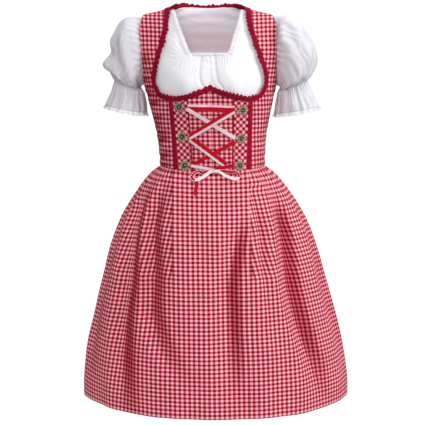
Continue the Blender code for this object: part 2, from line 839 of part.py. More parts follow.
def bodice_back():
    outer = side_edge(6, 12, back=True)
    half = back_half(outer, WAIST_Z + SHOULDER_RISE, BACK_COLUMN_SHARES, 0.0)
    return cloth("bodice_back", both_halves(half), BODICE_CLOTH, "gingham")


def upright_strip(name, x_waist, x_top, width, outward, tone, side):
    """A ribbon sewn up a line of the bodice front, from the waist seam to just under the neck trim."""
    marks = upright(x_waist, x_top, UPRIGHT_ROWS)
    foot = marks[0].lerp(marks[1], BAND_FOOT_SHARE)
    head = marks[-1].lerp(marks[-2], BAND_HEAD_SHARE)
    marks = marks_through([foot, *marks[1:-1], head], UPRIGHT_ROWS)
    half = width / 2
    sides = ((-half, outward), (0.0, outward), (half, outward))
    grid = strip_on_figure(marks, lambda step: sides)
    return cloth(name, mirrored(grid, side), BAND_CLOTH, tone)


def bodice():
    edge = upright(EDGE_X_WAIST, EDGE_X_TOP, UPRIGHT_ROWS)
    band = upright(BAND_X_WAIST, BAND_X_TOP, UPRIGHT_ROWS)
    centre = upright(0.0, 0.0, UPRIGHT_ROWS)
    on_cloth = BODICE_CLOTH + LAYER_AIR
    for side, word in ((LEFT, "left"), (RIGHT, "right")):
        front_piece(f"centre_front_{word}", centre, edge, 5, "gingham", side)
        front_piece(f"placket_{word}", edge, band, 4, "gingham", side)
        side_front(f"side_front_{word}", side)
        upright_strip(
            f"placket_edge_{word}", EDGE_X_WAIST, EDGE_X_TOP, EDGE_WIDTH, on_cloth, "trim", side
        )
        upright_strip(
            f"princess_band_{word}", BAND_X_WAIST, BAND_X_TOP, BAND_WIDTH, on_cloth, "trim", side
        )
    bodice_back()


# ---- neck trim


def scallop(step):
    """How far the free edge of the trim reaches past the neckline at a step along it."""
    wave = 0.5 - 0.5 * math.cos(2 * math.pi * step / SCALLOP_STEPS)
    return SCALLOP_REACH * blend(SCALLOP_VALLEY_SHARE, 1.0, wave)


def neck_trim(name, marks, profile):
    """The ruffled trim along a neckline; the profile gives its section at a step."""
    places = [skin(*mark) for mark in curve_through(marks, FINE_MARKS)]
    length = sum((stop - start).length for start, stop in zip(places, places[1:]))
    even = marks_through(marks, round(length / SCALLOP_LENGTH) * SCALLOP_STEPS + 1)
    return cloth(name, strip_on_figure(even, profile), TRIM_CLOTH, "trim")


def front_profile(step):
    """Flat on the bodice, with the scallops free."""
    on_cloth = BODICE_CLOTH + LAYER_AIR
    lift = SCALLOP_LIFT * scallop(step) / SCALLOP_REACH
    return ((-TRIM_ON_CLOTH, on_cloth), (scallop(step), on_cloth + lift))


def back_profile(step):
    """Folded over the back neck, so that it shows inside too."""
    outer, inner = BODICE_CLOTH + BACK_TRIM_AIR, -BACK_TRIM_AIR
    top = scallop(step)
    return ((-TRIM_ON_CLOTH, outer), (top, outer), (top, inner), (-TRIM_WITHIN, inner))


def neck_trims():
    right = neckline_marks()
    right[-1] = Vector((right[-1].x, SHOULDER_ARC - 2 * SEAM))
    left = [Vector((-mark.x, mark.y)) for mark in reversed(right[1:])]
    neck_trim("neck_trim_front", left + right, front_profile)
    start = 180.0 - ridge_mark(NECK_POINT_X).x + TRIM_GAP_DEGREES
    shares = [i / BACK_TRIM_STEPS for i in range(BACK_TRIM_STEPS + 1)]
    edge = [Vector((blend(start, 360.0 - start, share), SHOULDER_ARC)) for share in shares]
    neck_trim("neck_trim_back", edge, back_profile)


# ---- skirt


def fold_depth(angle, z):
    """How far the folds draw the skirt in at an angle and a height."""
    drawn = 0.0
    for fold in FOLDS:
        fade = smooth((fold.from_z - z) / FOLD_FADE_IN) * smooth((z - fold.to_z) / FOLD_FADE_OUT)
        down = (SKIRT[0].z - z) / (SKIRT[0].z - SKIRT[-1].z)
        if down < 0.5:
            centre = blend(fold.at_waist, fold.at_middle, smooth(down * 2))
        else:
            centre = blend(fold.at_middle, fold.at_hem, smooth(down * 2 - 1))
        off = (angle - centre + 180.0) % 360.0 - 180.0
        width = fold.left_width if off < 0 else fold.right_width
        share = min(abs(off) / (FOLD_SPREAD * width), 1.0)
        drawn += fold.depth * fade * math.cos(share * math.pi / 2) ** 2
    return drawn


def skirt_point(angle, z):
    """A point of the skirt's inner face at an angle round the body, for a height given at the side."""
    across = math.sin(math.radians(angle))
    front = abs(angle) <= 90.0
    flatness, roundness = read(SKIRT, "flatness", z), read(SKIRT, "roundness", z)
    bow = (1.0 - abs(across) ** flatness) ** (1.0 / roundness)
    depth = read(SKIRT, "front_depth" if front else "back_depth", z)
    width = read(SKIRT, "half_width", z)
    drawn = read(SKIRT, "fold_share", z) * fold_depth(angle, z)
    y = depth * bow
    y = -SEAM / 2 - y if front else SEAM / 2 + y
    out = Vector((across * depth, y * width / depth, 0.0)).normalized()
    share = (z - SKIRT[0].z) / (SKIRT[-1].z - SKIRT[0].z)
    ahead = max(math.cos(math.radians(angle)), 0.0) ** 2
    drop = blend(-WAIST_FRONT_DIP, HEM_FRONT_LIFT, share) * ahead
    return Vector((width * across, y, z + drop)) - out * drawn


def seam_angle(rows, z):
    """The angle of a front seam of the skirt at a height."""
    return math.degrees(math.asin(read(rows, "x", z) / read(SKIRT, "half_width", z)))


def skirt_panel(name, start, stop, columns):
    """A panel of the skirt between two seams, each given as its angle at a height."""
    rows = []
    for row in reversed(SKIRT):
        first, last = start(row.z), stop(row.z)
        angles = [blend(first, last, i / columns) for i in range(columns + 1)]
        rows.append([skirt_point(angle, row.z) for angle in angles])
    rows[-1] = [point - Vector((0.0, 0.0, SEAM / 2)) for point in rows[-1]]
    return cloth(name, rows, SKIRT_CLOTH, "gingham")


def skirt():
    def left(z):
        return seam_angle(FRONT_SEAM_LEFT, z)

    def right(z):
        return seam_angle(FRONT_SEAM_RIGHT, z)

    gap, side_gap = SEAM_DEGREES / 2, SKIRT_SEAM_DEGREES
    skirt_panel("skirt_front_left", lambda z: -90.0, lambda z: left(z) - gap, FRONT_SIDE_COLUMNS)
    skirt_panel(
        "skirt_front_middle", lambda z: left(z) + gap, lambda z: right(z) - gap, FRONT_MIDDLE_COLUMNS
    )
    skirt_panel("skirt_front_right", lambda z: right(z) + gap, lambda z: 90.0, FRONT_SIDE_COLUMNS)
    skirt_panel("skirt_back_right", lambda z: 90.0 + side_gap, lambda z: BACK_SEAM - gap, BACK_COLUMNS)
    skirt_panel("skirt_back_left", lambda z: BACK_SEAM + gap, lambda z: 270.0 - side_gap, BACK_COLUMNS)


# ---- blouse


def blouse_edge(count_seam, count_armhole, back=False):
    """The blouse's side seam and armhole, a little inside those of the bodice."""
    heights = [blend(BLOUSE_HEM_Z, UNDERARM_Z, i / (count_seam - 1)) for i in range(count_seam)]
    seam = [side_mark(z) for z in heights]
    spots = [mark_of(spot.x - BLOUSE_TIP_INSET, spot.z) for spot in ARMHOLE]
    tip = ridge_mark(SHOULDER_TIP_X - BLOUSE_TIP_INSET)
    armhole = [side_mark(UNDERARM_Z + BLOUSE_UNDERARM_LIFT), *spots, tip]
    marks = seam[:-1] + marks_through(armhole, count_armhole)
    return behind(marks) if back else marks


def blouse_front():
    seam_rows, armhole_rows = 3, 11
    outer = blouse_edge(seam_rows, armhole_rows)
    rows = len(outer)
    corner = mark_of(*BLOUSE_NECKLINE_SIDE[0])
    neck = ridge_mark(BLOUSE_NECK_POINT_X)
    side_line = [mark_of(*spot) for spot in BLOUSE_NECKLINE_SIDE] + [neck]
    flat = [Vector((blend(0.0, corner.x, i / 3), corner.y)) for i in range(3)]
    strap = [neck.lerp(outer[-1], i / 3) for i in range(1, 4)]
    top = flat + marks_through(side_line, 6) + strap
    columns = len(top)
    hem = BLOUSE_HEM_Z + SHOULDER_RISE
    bottom = [Vector((90.0 * i / (columns - 1), hem)) for i in range(columns)]
    inner = [Vector((0.0, blend(hem, corner.y, j / (rows - 1)))) for j in range(rows)]
    half = patch(bottom, top, inner, outer, -BLOUSE_INSET)
    whole = [row[::-1] for row in both_halves(half)]
    return cloth("blouse_front", whole, BLOUSE_CLOTH, "blouse")


def blouse_back():
    outer = blouse_edge(3, 11, back=True)
    half = back_half(outer, BLOUSE_HEM_Z + SHOULDER_RISE, BLOUSE_BACK_SHARES, -BLOUSE_INSET)
    return cloth("blouse_back", both_halves(half), BLOUSE_CLOTH, "blouse")


def neck_lace():
    """The narrow lace on the edge of the blouse neckline, one strip for each side and the bottom."""
    outward = BLOUSE_CLOTH + LAYER_AIR - BLOUSE_INSET
    corner = mark_of(*BLOUSE_NECKLINE_SIDE[0])
    neck = ridge_mark(BLOUSE_NECK_POINT_X)
    side_line = [mark_of(*spot) for spot in BLOUSE_NECKLINE_SIDE] + [neck]
    side_line[-1].y -= NECK_LACE_SHORT
    marks = marks_through(side_line, 14)
    ends = ((-NECK_LACE_WIDTH, outward), (NECK_LACE_PROUD, outward))
    grid = strip_on_figure(marks, lambda step: ends)
    for side, word in ((LEFT, "left"), (RIGHT, "right")):
        cloth(f"neck_lace_{word}", mirrored(grid, side), LACE_CLOTH, "lace")
    flat = [Vector((blend(-corner.x, corner.x, i / 10), corner.y)) for i in range(11)]
    ends = ((-NECK_LACE_WIDTH / 2, outward), (NECK_LACE_PROUD, outward))
    grid = strip_on_figure(flat, lambda step: ends)
    inside = [row[1:-1] for row in grid]
    cloth("neck_lace_front", inside, LACE_CLOTH, "lace")


def armhole_loop(grow, outward):
    """Points round the blouse armhole, from the shoulder by the front and the underarm to the back."""
    spots = [mark_of(spot.x + grow, spot.z) for spot in ARMHOLE]
    tip, low = ridge_mark(SHOULDER_TIP_X + grow), side_mark(UNDERARM_Z + SLEEVE_UNDERARM_LIFT)
    front = marks_through([tip, *reversed(spots), low], SLEEVE_COLUMNS // 2 + 1)
    back = behind(reversed(front[1:-1]))
    return [torso_point(*mark, outward) for mark in front + back]


def hoop(row):
    """Points round one hoop of a sleeve, from its outer end by the front and its inner end to the back."""
    centre = Vector(((row.outer_x + row.inner_x) / 2, 0.0, (row.outer_z + row.inner_z) / 2))
    reach = Vector((row.outer_x, 0.0, row.outer_z)) - centre
    points = []
    for i in range(SLEEVE_COLUMNS):
        turn = 2 * math.pi * i / SLEEVE_COLUMNS
        gather = row.gather * math.cos(SLEEVE_GATHERS * turn)
        spoke = reach * math.cos(turn) + Vector((0.0, -row.half_depth * math.sin(turn), 0.0))
        points.append(centre + spoke * (1.0 + gather / spoke.length))
    return points


def sleeve(word, rows, side):
    """A puff sleeve, from the armhole through its elastic to the flounce, and the lace on its edge."""
    hoops = [armhole_loop(grow, outward) for grow, outward in SLEEVE_ROOT]
    hoops += [hoop(row) for row in rows]
    grid = [turned(points, side) for points in hoops]
    cloth(f"sleeve_{word}", grid, BLOUSE_CLOTH, "blouse", ring=True)
    last, before = rows[-1], rows[-2]
    away = Vector((last.outer_x - before.outer_x, last.outer_z - before.outer_z)).normalized()
    within = Vector((last.inner_x - before.inner_x, last.inner_z - before.inner_z)).normalized()

    def edge(distance, flare):
        return SleeveRow(
            last.outer_x + away.x * distance,
            last.outer_z + away.y * distance,
            last.inner_x + within.x * distance,
            last.inner_z + within.y * distance,
            last.half_depth + flare,
            last.gather,
        )

    lace = [hoop(edge(SEAM, 0.0)), hoop(edge(CUFF_LACE_WIDTH, CUFF_LACE_FLARE))]
    grid = [turned(points, side) for points in lace]
    cloth(f"sleeve_lace_{word}", grid, LACE_CLOTH, "lace", ring=True)


def turned(points, side):
    """Mirror a hoop for the left sleeve, and keep its cloth facing out."""
    if side == RIGHT:
        return points[::-1]
    return [Vector((-point.x, point.y, point.z)) for point in points]


def blouse():
    blouse_front()
    blouse_back()
    neck_lace()
    sleeve("left", SLEEVE_LEFT, LEFT)
    sleeve("right", SLEEVE_RIGHT, RIGHT)


# ---- buttons, lacing and bow


def button(spec):
    """A rosette: a low turned dome whose rim is drawn out into petals."""
    spokes = BUTTON_PETALS * 2
    shape = bmesh.new()
    crown = shape.verts.new((0.0, 0.0, BUTTON_HEIGHT * BUTTON_CROWN))
    foot = shape.verts.new((0.0, 0.0, 0.0))
    hoops = []
    for reach, height in BUTTON_PROFILE:
        points = []
        for i in range(spokes):
            petal = 1.0 + BUTTON_PETAL_DEPTH * reach * (-1) ** i
            radius = BUTTON_RADIUS * reach * petal / (1.0 + BUTTON_PETAL_DEPTH)
            turn = 2 * math.pi * i / spokes
            at = (radius * math.cos(turn), radius * math.sin(turn), BUTTON_HEIGHT * height)
            points.append(shape.verts.new(at))
        hoops.append(points)
    for i in range(spokes):
        after = (i + 1) % spokes
        shape.faces.new((crown, hoops[0][i], hoops[0][after]))
        shape.faces.new((foot, hoops[-1][after], hoops[-1][i]))
        for inner, outer in zip(hoops, hoops[1:]):
            shape.faces.new((inner[i], outer[i], outer[after], inner[after]))
    made = new_object(spec.name, shape, "metal")
    mark = mark_of(spec.x, spec.z)
    normal = torso_normal(*mark)
    made.location = sway(torso_point(*mark, BODICE_CLOTH + BUTTON_AIR))
    made.rotation_euler = normal.to_track_quat("Z", "X").to_euler()
    return made


def lacing(spec):
    """A straight stretch of ribbon drawn flat over the bodice front."""
    start, stop = Vector((spec.from_x, spec.from_z)), Vector((spec.to_x, spec.to_z))
    steps = [start.lerp(stop, i / (LACING_STEPS - 1)) for i in range(LACING_STEPS)]
    marks = [mark_of(*step) for step in steps]
    outward = LACING_BASE + spec.layer * LACING_LAYER
    half = spec.width / 2
    ends = ((-half, outward), (half, outward))
    return cloth(spec.name, strip_on_figure(marks, lambda step: ends), RIBBON_CLOTH, spec.tone)


def waist_front(x, z):
    """The outer face of the cloth at the waist front, and the way out of it."""
    if z > WAIST_Z - WAIST_FRONT_DIP:
        mark = mark_of(x, z)
        return torso_point(*mark, BODICE_CLOTH), torso_normal(*mark)
    side_z = z + WAIST_FRONT_DIP
    angle = math.degrees(math.asin(x / read(SKIRT, "half_width", side_z)))
    point = skirt_point(angle, side_z)
    around = skirt_point(angle + 1.0, side_z) - skirt_point(angle - 1.0, side_z)
    upward = skirt_point(angle, side_z + 0.002) - skirt_point(angle, side_z - 0.002)
    normal = around.cross(upward).normalized()
    return point + normal * SKIRT_CLOTH, normal


def bow_ribbon(spec):
    """A loop or a tail of the bow, standing clear of the waist."""
    steps = curve_through([Vector((place.x, place.z, place.stand)) for place in spec.course], BOW_STEPS)
    points, normals = [], []
    for step in steps:
        on_cloth, normal = waist_front(step.x, step.y)
        points.append(on_cloth + normal * step.z)
        normals.append(normal)
    last = len(points) - 1
    rows = []
    for i, (point, normal) in enumerate(zip(points, normals)):
        along = points[min(i + 1, last)] - points[max(i - 1, 0)]
        across = normal.cross(along).normalized() * spec.width / 2
        if rows and across.dot(rows[-1][1] - rows[-1][0]) < 0:
            across = -across
        rows.append([point - across, point + across])
    return cloth(spec.name, rows, RIBBON_CLOTH, spec.tone)


def knot():
    shape = bmesh.new()
    bmesh.ops.create_uvsphere(shape, u_segments=10, v_segments=6, radius=1.0)
    bmesh.ops.scale(shape, vec=KNOT_SIZE, verts=shape.verts)
    made = new_object("bow_knot", shape, "red")
    outward = BODICE_CLOTH + KNOT_AIR + KNOT_SIZE[1]
    made.location = sway(torso_point(*mark_of(*KNOT), outward))
    return made


def fastenings():
    for spec in BUTTONS:
        button(spec)
    for spec in LACING:
        lacing(spec)
    for spec in BOW:
        bow_ribbon(spec)
    knot()


def main():
    for old in list(bpy.data.objects):
        bpy.data.objects.remove(old, do_unlink=True)
    bpy.context.scene.collection.children.link(bpy.data.collections.new(COLLECTION))
    bodice()
    neck_trims()
    skirt()
    blouse()
    fastenings()


main()
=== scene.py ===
"""Dirndl dress over its puff-sleeved blouse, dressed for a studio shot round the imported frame.

Metres, +Z up, front at -Y. Left and right are the viewer's, so left is -X. Every cloth lies on one
general figure, as the frame's solids do: a mark on it is an angle in degrees from the centre front
and a level in metres above the line where the straps begin to turn over the shoulder.
"""

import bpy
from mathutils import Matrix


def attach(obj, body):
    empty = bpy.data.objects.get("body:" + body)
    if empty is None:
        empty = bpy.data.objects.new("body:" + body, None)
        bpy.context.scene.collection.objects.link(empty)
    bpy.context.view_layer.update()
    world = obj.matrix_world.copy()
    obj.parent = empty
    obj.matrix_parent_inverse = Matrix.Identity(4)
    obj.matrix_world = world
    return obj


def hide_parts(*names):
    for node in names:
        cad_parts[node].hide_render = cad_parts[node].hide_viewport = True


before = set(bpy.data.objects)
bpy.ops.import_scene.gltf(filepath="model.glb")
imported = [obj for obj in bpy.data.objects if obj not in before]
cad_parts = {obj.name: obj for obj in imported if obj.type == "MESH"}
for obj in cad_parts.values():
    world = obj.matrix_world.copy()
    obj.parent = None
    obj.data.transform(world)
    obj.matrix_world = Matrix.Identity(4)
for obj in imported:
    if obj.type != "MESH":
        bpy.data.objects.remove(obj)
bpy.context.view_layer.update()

import logging
import math
from dataclasses import dataclass
from enum import Enum
from typing import Callable, Sequence

import bmesh
import bpy
import numpy as np
from bpy.types import ID, Material, Node, NodeSocket, NodeTree, Object
from mathutils import Vector

LOG = logging.getLogger("dirndl")
Array = np.ndarray
Paint = tuple | NodeSocket

CLOTH_MAP = "cloth"
# the point attribute that carries the shade painted into folds and puckers
FOLD_SHADE_MAP = "fold"
NARROWEST_CUT = 0.0101  # no cut is logged with a flat side under 10 mm
THIN = 0.0006  # the thickness of trims and laces
TURN = 2 * math.pi
MIRROR = np.array([-1.0, 1.0, 1.0])
CENTRE_BACK = 180.0
SIDE_SEAM = 90.0
BUMP_SPREAD = (0.6, 1.3)
BUMP_GAIN = 1.8
RULER_FOOT = -0.345  # the lowest level that flat cloth is measured from
PINK = (0.92, 0.68, 0.74)


class Side(Enum):
    """The viewer's left and right."""

    LEFT = -1
    RIGHT = 1

    @property
    def word(self) -> str:
        """The word for the side in a piece's name."""
        return self.name.lower()

    @property
    def index(self) -> int:
        """The side's place in a pair of values, left first."""
        return int(self is Side.RIGHT)


class Slot(Enum):
    """Material slots."""

    GINGHAM = "gingham"
    TRIM = "trim"
    RED = "ribbon_red"
    PALE = "ribbon_pale"
    COTTON = "blouse_cotton"
    LACE = "lace"
    METAL = "button_metal"


# ---- curves and shares


def smooth(share: Array) -> Array:
    """Ease from 0 to 1 as the share goes from 0 to 1."""
    share = np.clip(share, 0.0, 1.0)
    return share * share * (3.0 - 2.0 * share)


def blend(first: Array, second: Array, share: Array) -> Array:
    """Mix two values by a share."""
    return first + (second - first) * share


def unit(vectors: Array) -> Array:
    """Scale vectors to a length of one."""
    return vectors / np.maximum(np.linalg.norm(vectors, axis=-1, keepdims=True), 1e-12)


def lengths_along(points: Array, axis: int = 0) -> Array:
    """Running length along an axis of a grid of points, from zero."""
    steps = np.linalg.norm(np.diff(points, axis=axis), axis=-1)
    start = np.zeros_like(np.take(steps, [0], axis=axis))
    return np.concatenate([start, np.cumsum(steps, axis=axis)], axis=axis)


@dataclass(frozen=True)
class Course:
    """A smooth curve through values given at falling heights."""

    heights: tuple
    values: tuple

    def at(self, height: Array) -> Array:
        """Read the curve at heights."""
        keys, values = -np.array(self.heights), np.array(self.values)
        low = np.maximum(np.arange(len(keys)) - 1, 0)
        high = np.minimum(np.arange(len(keys)) + 1, len(keys) - 1)
        slopes = (values[high] - values[low]) / (keys[high] - keys[low])
        key = np.clip(-np.asarray(height, float), keys[0], keys[-1])
        at = np.clip(np.searchsorted(keys[1:], key), 0, len(keys) - 2)
        span = keys[at + 1] - keys[at]
        share = (key - keys[at]) / span
        start = share * (1.0 - share) ** 2 * span * slopes[at]
        end = share**2 * (share - 1.0) * span * slopes[at + 1]
        return blend(values[at], values[at + 1], smooth(share)) + start + end


def courses(rows: Sequence[Sequence[float]]) -> list[Course]:
    """Split a table whose first column is a height into one course for each other column."""
    heights, *columns = zip(*rows)
    return [Course(tuple(heights), tuple(column)) for column in columns]


def curve_through(points: Array, steps: int = 12) -> Array:
    """Draw a smooth curve through points.

    Args:
        points: The points, of any number of values each.
        steps: How many steps each stretch between two points has.

    Returns:
        The curve's points, from the first to the last.
    """
    points = np.asarray(points, float)
    ends = np.vstack([2 * points[0] - points[1], points, 2 * points[-1] - points[-2]])
    before, start, stop, after = ends[:-3], ends[1:-2], ends[2:-1], ends[3:]
    t = (np.arange(steps) / steps)[None, :, None]
    before, start, stop, after = (part[:, None, :] for part in (before, start, stop, after))
    bend = (2 * before - 5 * start + 4 * stop - after) * t * t
    turn = (3 * start - before - 3 * stop + after) * t**3
    fine = 0.5 * (2 * start + (stop - before) * t + bend + turn)
    return np.vstack([fine.reshape(-1, points.shape[1]), points[-1]])


def spaced(items: Array, places: Array, count: int) -> Array:
    """Return count items, in even steps of the length along their places."""
    along = lengths_along(places)
    want = np.linspace(0.0, along[-1], count)
    return np.stack([np.interp(want, along, column) for column in items.T], axis=-1)


# ---- the figure


@dataclass(frozen=True)
class Figure:
    """The general figure that every cloth lies on.

    Attributes:
        rows: Height, half width, front depth and back depth.
        stance: Height, and how far to the right the figure stands there.
    """

    fullness: float = 2.3
    seam: float = 0.0003
    shoulder_arc: float = 0.065
    shoulder_rise: float = 0.050
    shoulder_fade: float = 0.070
    neck_point_x: float = 0.0965
    neck_point_z: float = 0.0048
    shoulder_slope: float = 0.24
    back_corner_x: float = 0.078
    back_corner_lift: float = 0.0050
    back_dip: float = 0.0040
    back_strap_from_x: float = 0.040
    bust_x: float = 0.068
    bust_z: float = -0.168
    bust_forward: float = 0.0150
    bust_spread_x: float = 0.050
    bust_spread_z: float = 0.052
    waist_z: float = -0.379
    waist_dip: float = 0.0070
    rows: tuple = (
        (0.000, 0.1830, 0.0450, 0.0540),
        (-0.050, 0.1820, 0.0600, 0.0660),
        (-0.090, 0.1790, 0.0780, 0.0830),
        (-0.120, 0.1740, 0.0870, 0.0900),
        (-0.150, 0.1680, 0.0930, 0.0930),
        (-0.190, 0.1585, 0.0985, 0.0940),
        (-0.220, 0.1515, 0.0995, 0.0920),
        (-0.254, 0.1435, 0.0985, 0.0895),
        (-0.288, 0.1358, 0.0965, 0.0865),
        (-0.320, 0.1317, 0.0945, 0.0845),
        (-0.355, 0.1285, 0.0930, 0.0830),
        (-0.390, 0.1275, 0.0925, 0.0825),
    )
    stance: tuple = ((0.02, 0.0), (-0.20, 0.0075), (-0.38, 0.0125), (-0.96, 0.0210))

    def sway(self, points: Array) -> Array:
        """Move points sideways with the figure's stance."""
        moved = np.array(points, float)
        moved[..., 0] += courses(self.stance)[0].at(moved[..., 2])
        return moved

    def shoulder_line(self, x: Array) -> Array:
        """Height of the shoulder ridge and of the back neckline."""
        x = np.abs(x)
        slope = self.shoulder_slope * np.maximum(x - self.neck_point_x, 0.0)
        corner = smooth((self.neck_point_x - x) / (self.neck_point_x - self.back_corner_x))
        dip = smooth((self.back_corner_x - x) / self.back_corner_x)
        return self.neck_point_z - slope + self.back_corner_lift * corner - self.back_dip * dip

    def height_of(self, level: Array) -> Array:
        """Height of a level below the shoulder ridge."""
        over = -self.shoulder_rise * (1.0 - np.sin(self.turn_over(level)))
        return np.where(level <= 0.0, level - self.shoulder_rise, over)

    def turn_over(self, level: Array) -> Array:
        """How far a level has turned over the shoulder, up to a quarter turn."""
        return np.clip(level / self.shoulder_arc, 0.0, 1.0) * TURN / 4

    def skin(self, marks: Array) -> Array:
        """Places of marks on the surface under the bodice.

        Args:
            marks: Angles and levels, in the last axis.

        Returns:
            Points in the last axis, before the stance moves them.
        """
        angle, level = np.radians(marks[..., 0]), marks[..., 1]
        front, across = np.cos(angle) >= 0.0, np.sin(angle)
        height = self.height_of(level)
        half_width, front_depth, back_depth = (c.at(height) for c in courses(self.rows))
        x = half_width * across
        bow = (1.0 - np.abs(across) ** self.fullness) ** (1.0 / self.fullness)
        reach = self.neck_point_x - self.back_strap_from_x
        strap = np.where(front, 1.0, smooth((np.abs(x) - self.back_strap_from_x) / reach))
        ridge = self.shoulder_line(x)
        plain = self.shoulder_rise * (level / self.shoulder_arc - 1.0)
        over = ridge + blend(plain, height, strap)
        below = ridge * np.maximum(0.0, 1.0 + level / self.shoulder_fade) + height
        z = np.where(level > 0.0, over, below)
        turned = np.cos(self.turn_over(level))
        cup = ((np.abs(x) - self.bust_x) / self.bust_spread_x) ** 2
        cup = cup + ((z - self.bust_z) / self.bust_spread_z) ** 2
        y_front = -self.seam / 2 - front_depth * bow * turned - self.bust_forward * np.exp(-cup) * bow
        y_back = self.seam / 2 + back_depth * bow * (1.0 - strap * (1.0 - turned))
        return np.stack([x, np.where(front, y_front, y_back), z], axis=-1)

    def slopes(self, marks: Array) -> tuple[Array, Array]:
        """How the surface runs at marks.

        Args:
            marks: Angles and levels, in the last axis.

        Returns:
            The way round the body for each degree, and the way up for each metre of level.
        """
        wide, tall = np.array([0.5, 0.0]), np.array([0.0, 0.0008])
        marks = np.array(marks, float)
        marks[..., 1] = np.minimum(marks[..., 1], self.shoulder_arc - tall[1])
        around = (self.skin(marks + wide) - self.skin(marks - wide)) / (2 * wide[0])
        upward = (self.skin(marks + tall) - self.skin(marks - tall)) / (2 * tall[1])
        return around, upward

    def normal(self, marks: Array) -> Array:
        """The way out of the surface at marks."""
        around, upward = self.slopes(marks)
        return unit(np.cross(around, upward))

    def place(self, marks: Array, outward: Array | float = 0.0) -> Array:
        """Places of marks, moved out of the surface by a distance."""
        outward = np.asarray(outward, float)
        return self.skin(marks) + self.normal(marks) * outward[..., None]

    def mark_of(self, x: Array, z: Array, back: bool = False) -> Array:
        """Marks of places seen square on.

        Args:
            x: How far right of the middle they lie.
            z: Their heights.
            back: Whether they lie on the back.

        Returns:
            Angles and levels, in the last axis.
        """
        x, z = np.broadcast_arrays(np.asarray(x, float), np.asarray(z, float))
        ridge = self.shoulder_line(x)
        turn = np.arcsin(np.clip(1.0 + (z - ridge) / self.shoulder_rise, 0.0, 1.0))
        level = self.shoulder_arc * turn / (TURN / 4)
        low = (z + self.shoulder_rise - ridge) / (1.0 + ridge / self.shoulder_fade)
        low = np.where(low < -self.shoulder_fade, z + self.shoulder_rise, low)
        level = np.where(z > ridge - self.shoulder_rise, level, low)
        half_width = courses(self.rows)[0].at(self.height_of(level))
        angle = np.degrees(np.arcsin(np.minimum(1.0, np.abs(x) / half_width)))
        angle = np.copysign(CENTRE_BACK - angle if back else angle, x)
        return np.stack([angle, level], axis=-1)

    def ridge_mark(self, x: float) -> Array:
        """The mark on the shoulder ridge at a distance from the centre."""
        return np.array([self.mark_of(x, self.shoulder_rise)[0], self.shoulder_arc])

    def side_mark(self, z: float) -> Array:
        """The mark on the side seam at a height."""
        return np.array([SIDE_SEAM, z + self.shoulder_rise])

    def through(self, marks: Sequence[Array], count: int) -> Array:
        """Return count marks, evenly spaced on the cloth, on a smooth curve through marks."""
        fine = curve_through(np.array(marks))
        return spaced(fine, self.skin(fine), count)

    def waist_marks(self, start: float, stop: float, count: int) -> Array:
        """Marks along the waist seam between two angles."""
        angle = np.linspace(start, stop, count)
        front = np.maximum(np.cos(np.radians(angle)), 0.0)
        level = self.waist_z - self.waist_dip * front**2 + self.shoulder_rise
        return pairs(angle, level)

    def walk(self, marks: Array, heading: Array, distance: Array, steps: int = 4) -> Array:
        """Move marks over the surface.

        Args:
            marks: Where they start.
            heading: The way that each goes, as a vector of length one.
            distance: How far each goes.
            steps: In how many straight steps.

        Returns:
            The marks where they end.
        """
        marks = np.array(marks, float)
        for _ in range(steps):
            around, upward = self.slopes(marks)
            move = heading * distance[:, None] / steps
            wide, tall = (around**2).sum(-1), (upward**2).sum(-1)
            skew = (around * upward).sum(-1)
            sideways, upwards = (move * around).sum(-1), (move * upward).sum(-1)
            area = wide * tall - skew**2
            marks[..., 0] += (sideways * tall - upwards * skew) / area
            marks[..., 1] += (upwards * wide - sideways * skew) / area
            marks[..., 1] = np.minimum(marks[..., 1], self.shoulder_arc)
            normal = self.normal(marks)
            heading = unit(heading - normal * (heading * normal).sum(-1, keepdims=True))
        return marks

    def strip(self, marks: Array, aside: Array, outward: Array) -> Array:
        """Lay a strip along a line of marks.

        Args:
            marks: The line, one mark for each step.
            aside: Distances across, a row for each strand and a column for each step. They are
                positive to the left of the line's way, where the strip leaves the figure straight on.
            outward: Distances out of the surface, in the same layout.

        Returns:
            The strands' points, in the same layout.
        """
        middle, normal = self.skin(marks), self.normal(marks)
        along = np.gradient(middle, axis=0)
        across = unit(np.cross(normal, along))
        strands = []
        for offset, lift in zip(*np.broadcast_arrays(aside, outward)):
            strand = middle + across * offset[:, None] + normal * lift[:, None]
            inside = offset < 0.0
            if inside.any():
                walked = self.walk(marks[inside], -across[inside], -offset[inside])
                strand[inside] = self.place(walked, lift[inside])
            strands.append(strand)
        return np.stack(strands)


def pairs(first: Array | float, second: Array | float) -> Array:
    """Put two values of each place together, in the last axis."""
    return np.stack(np.broadcast_arrays(first, second), axis=-1)


FIGURE = Figure()


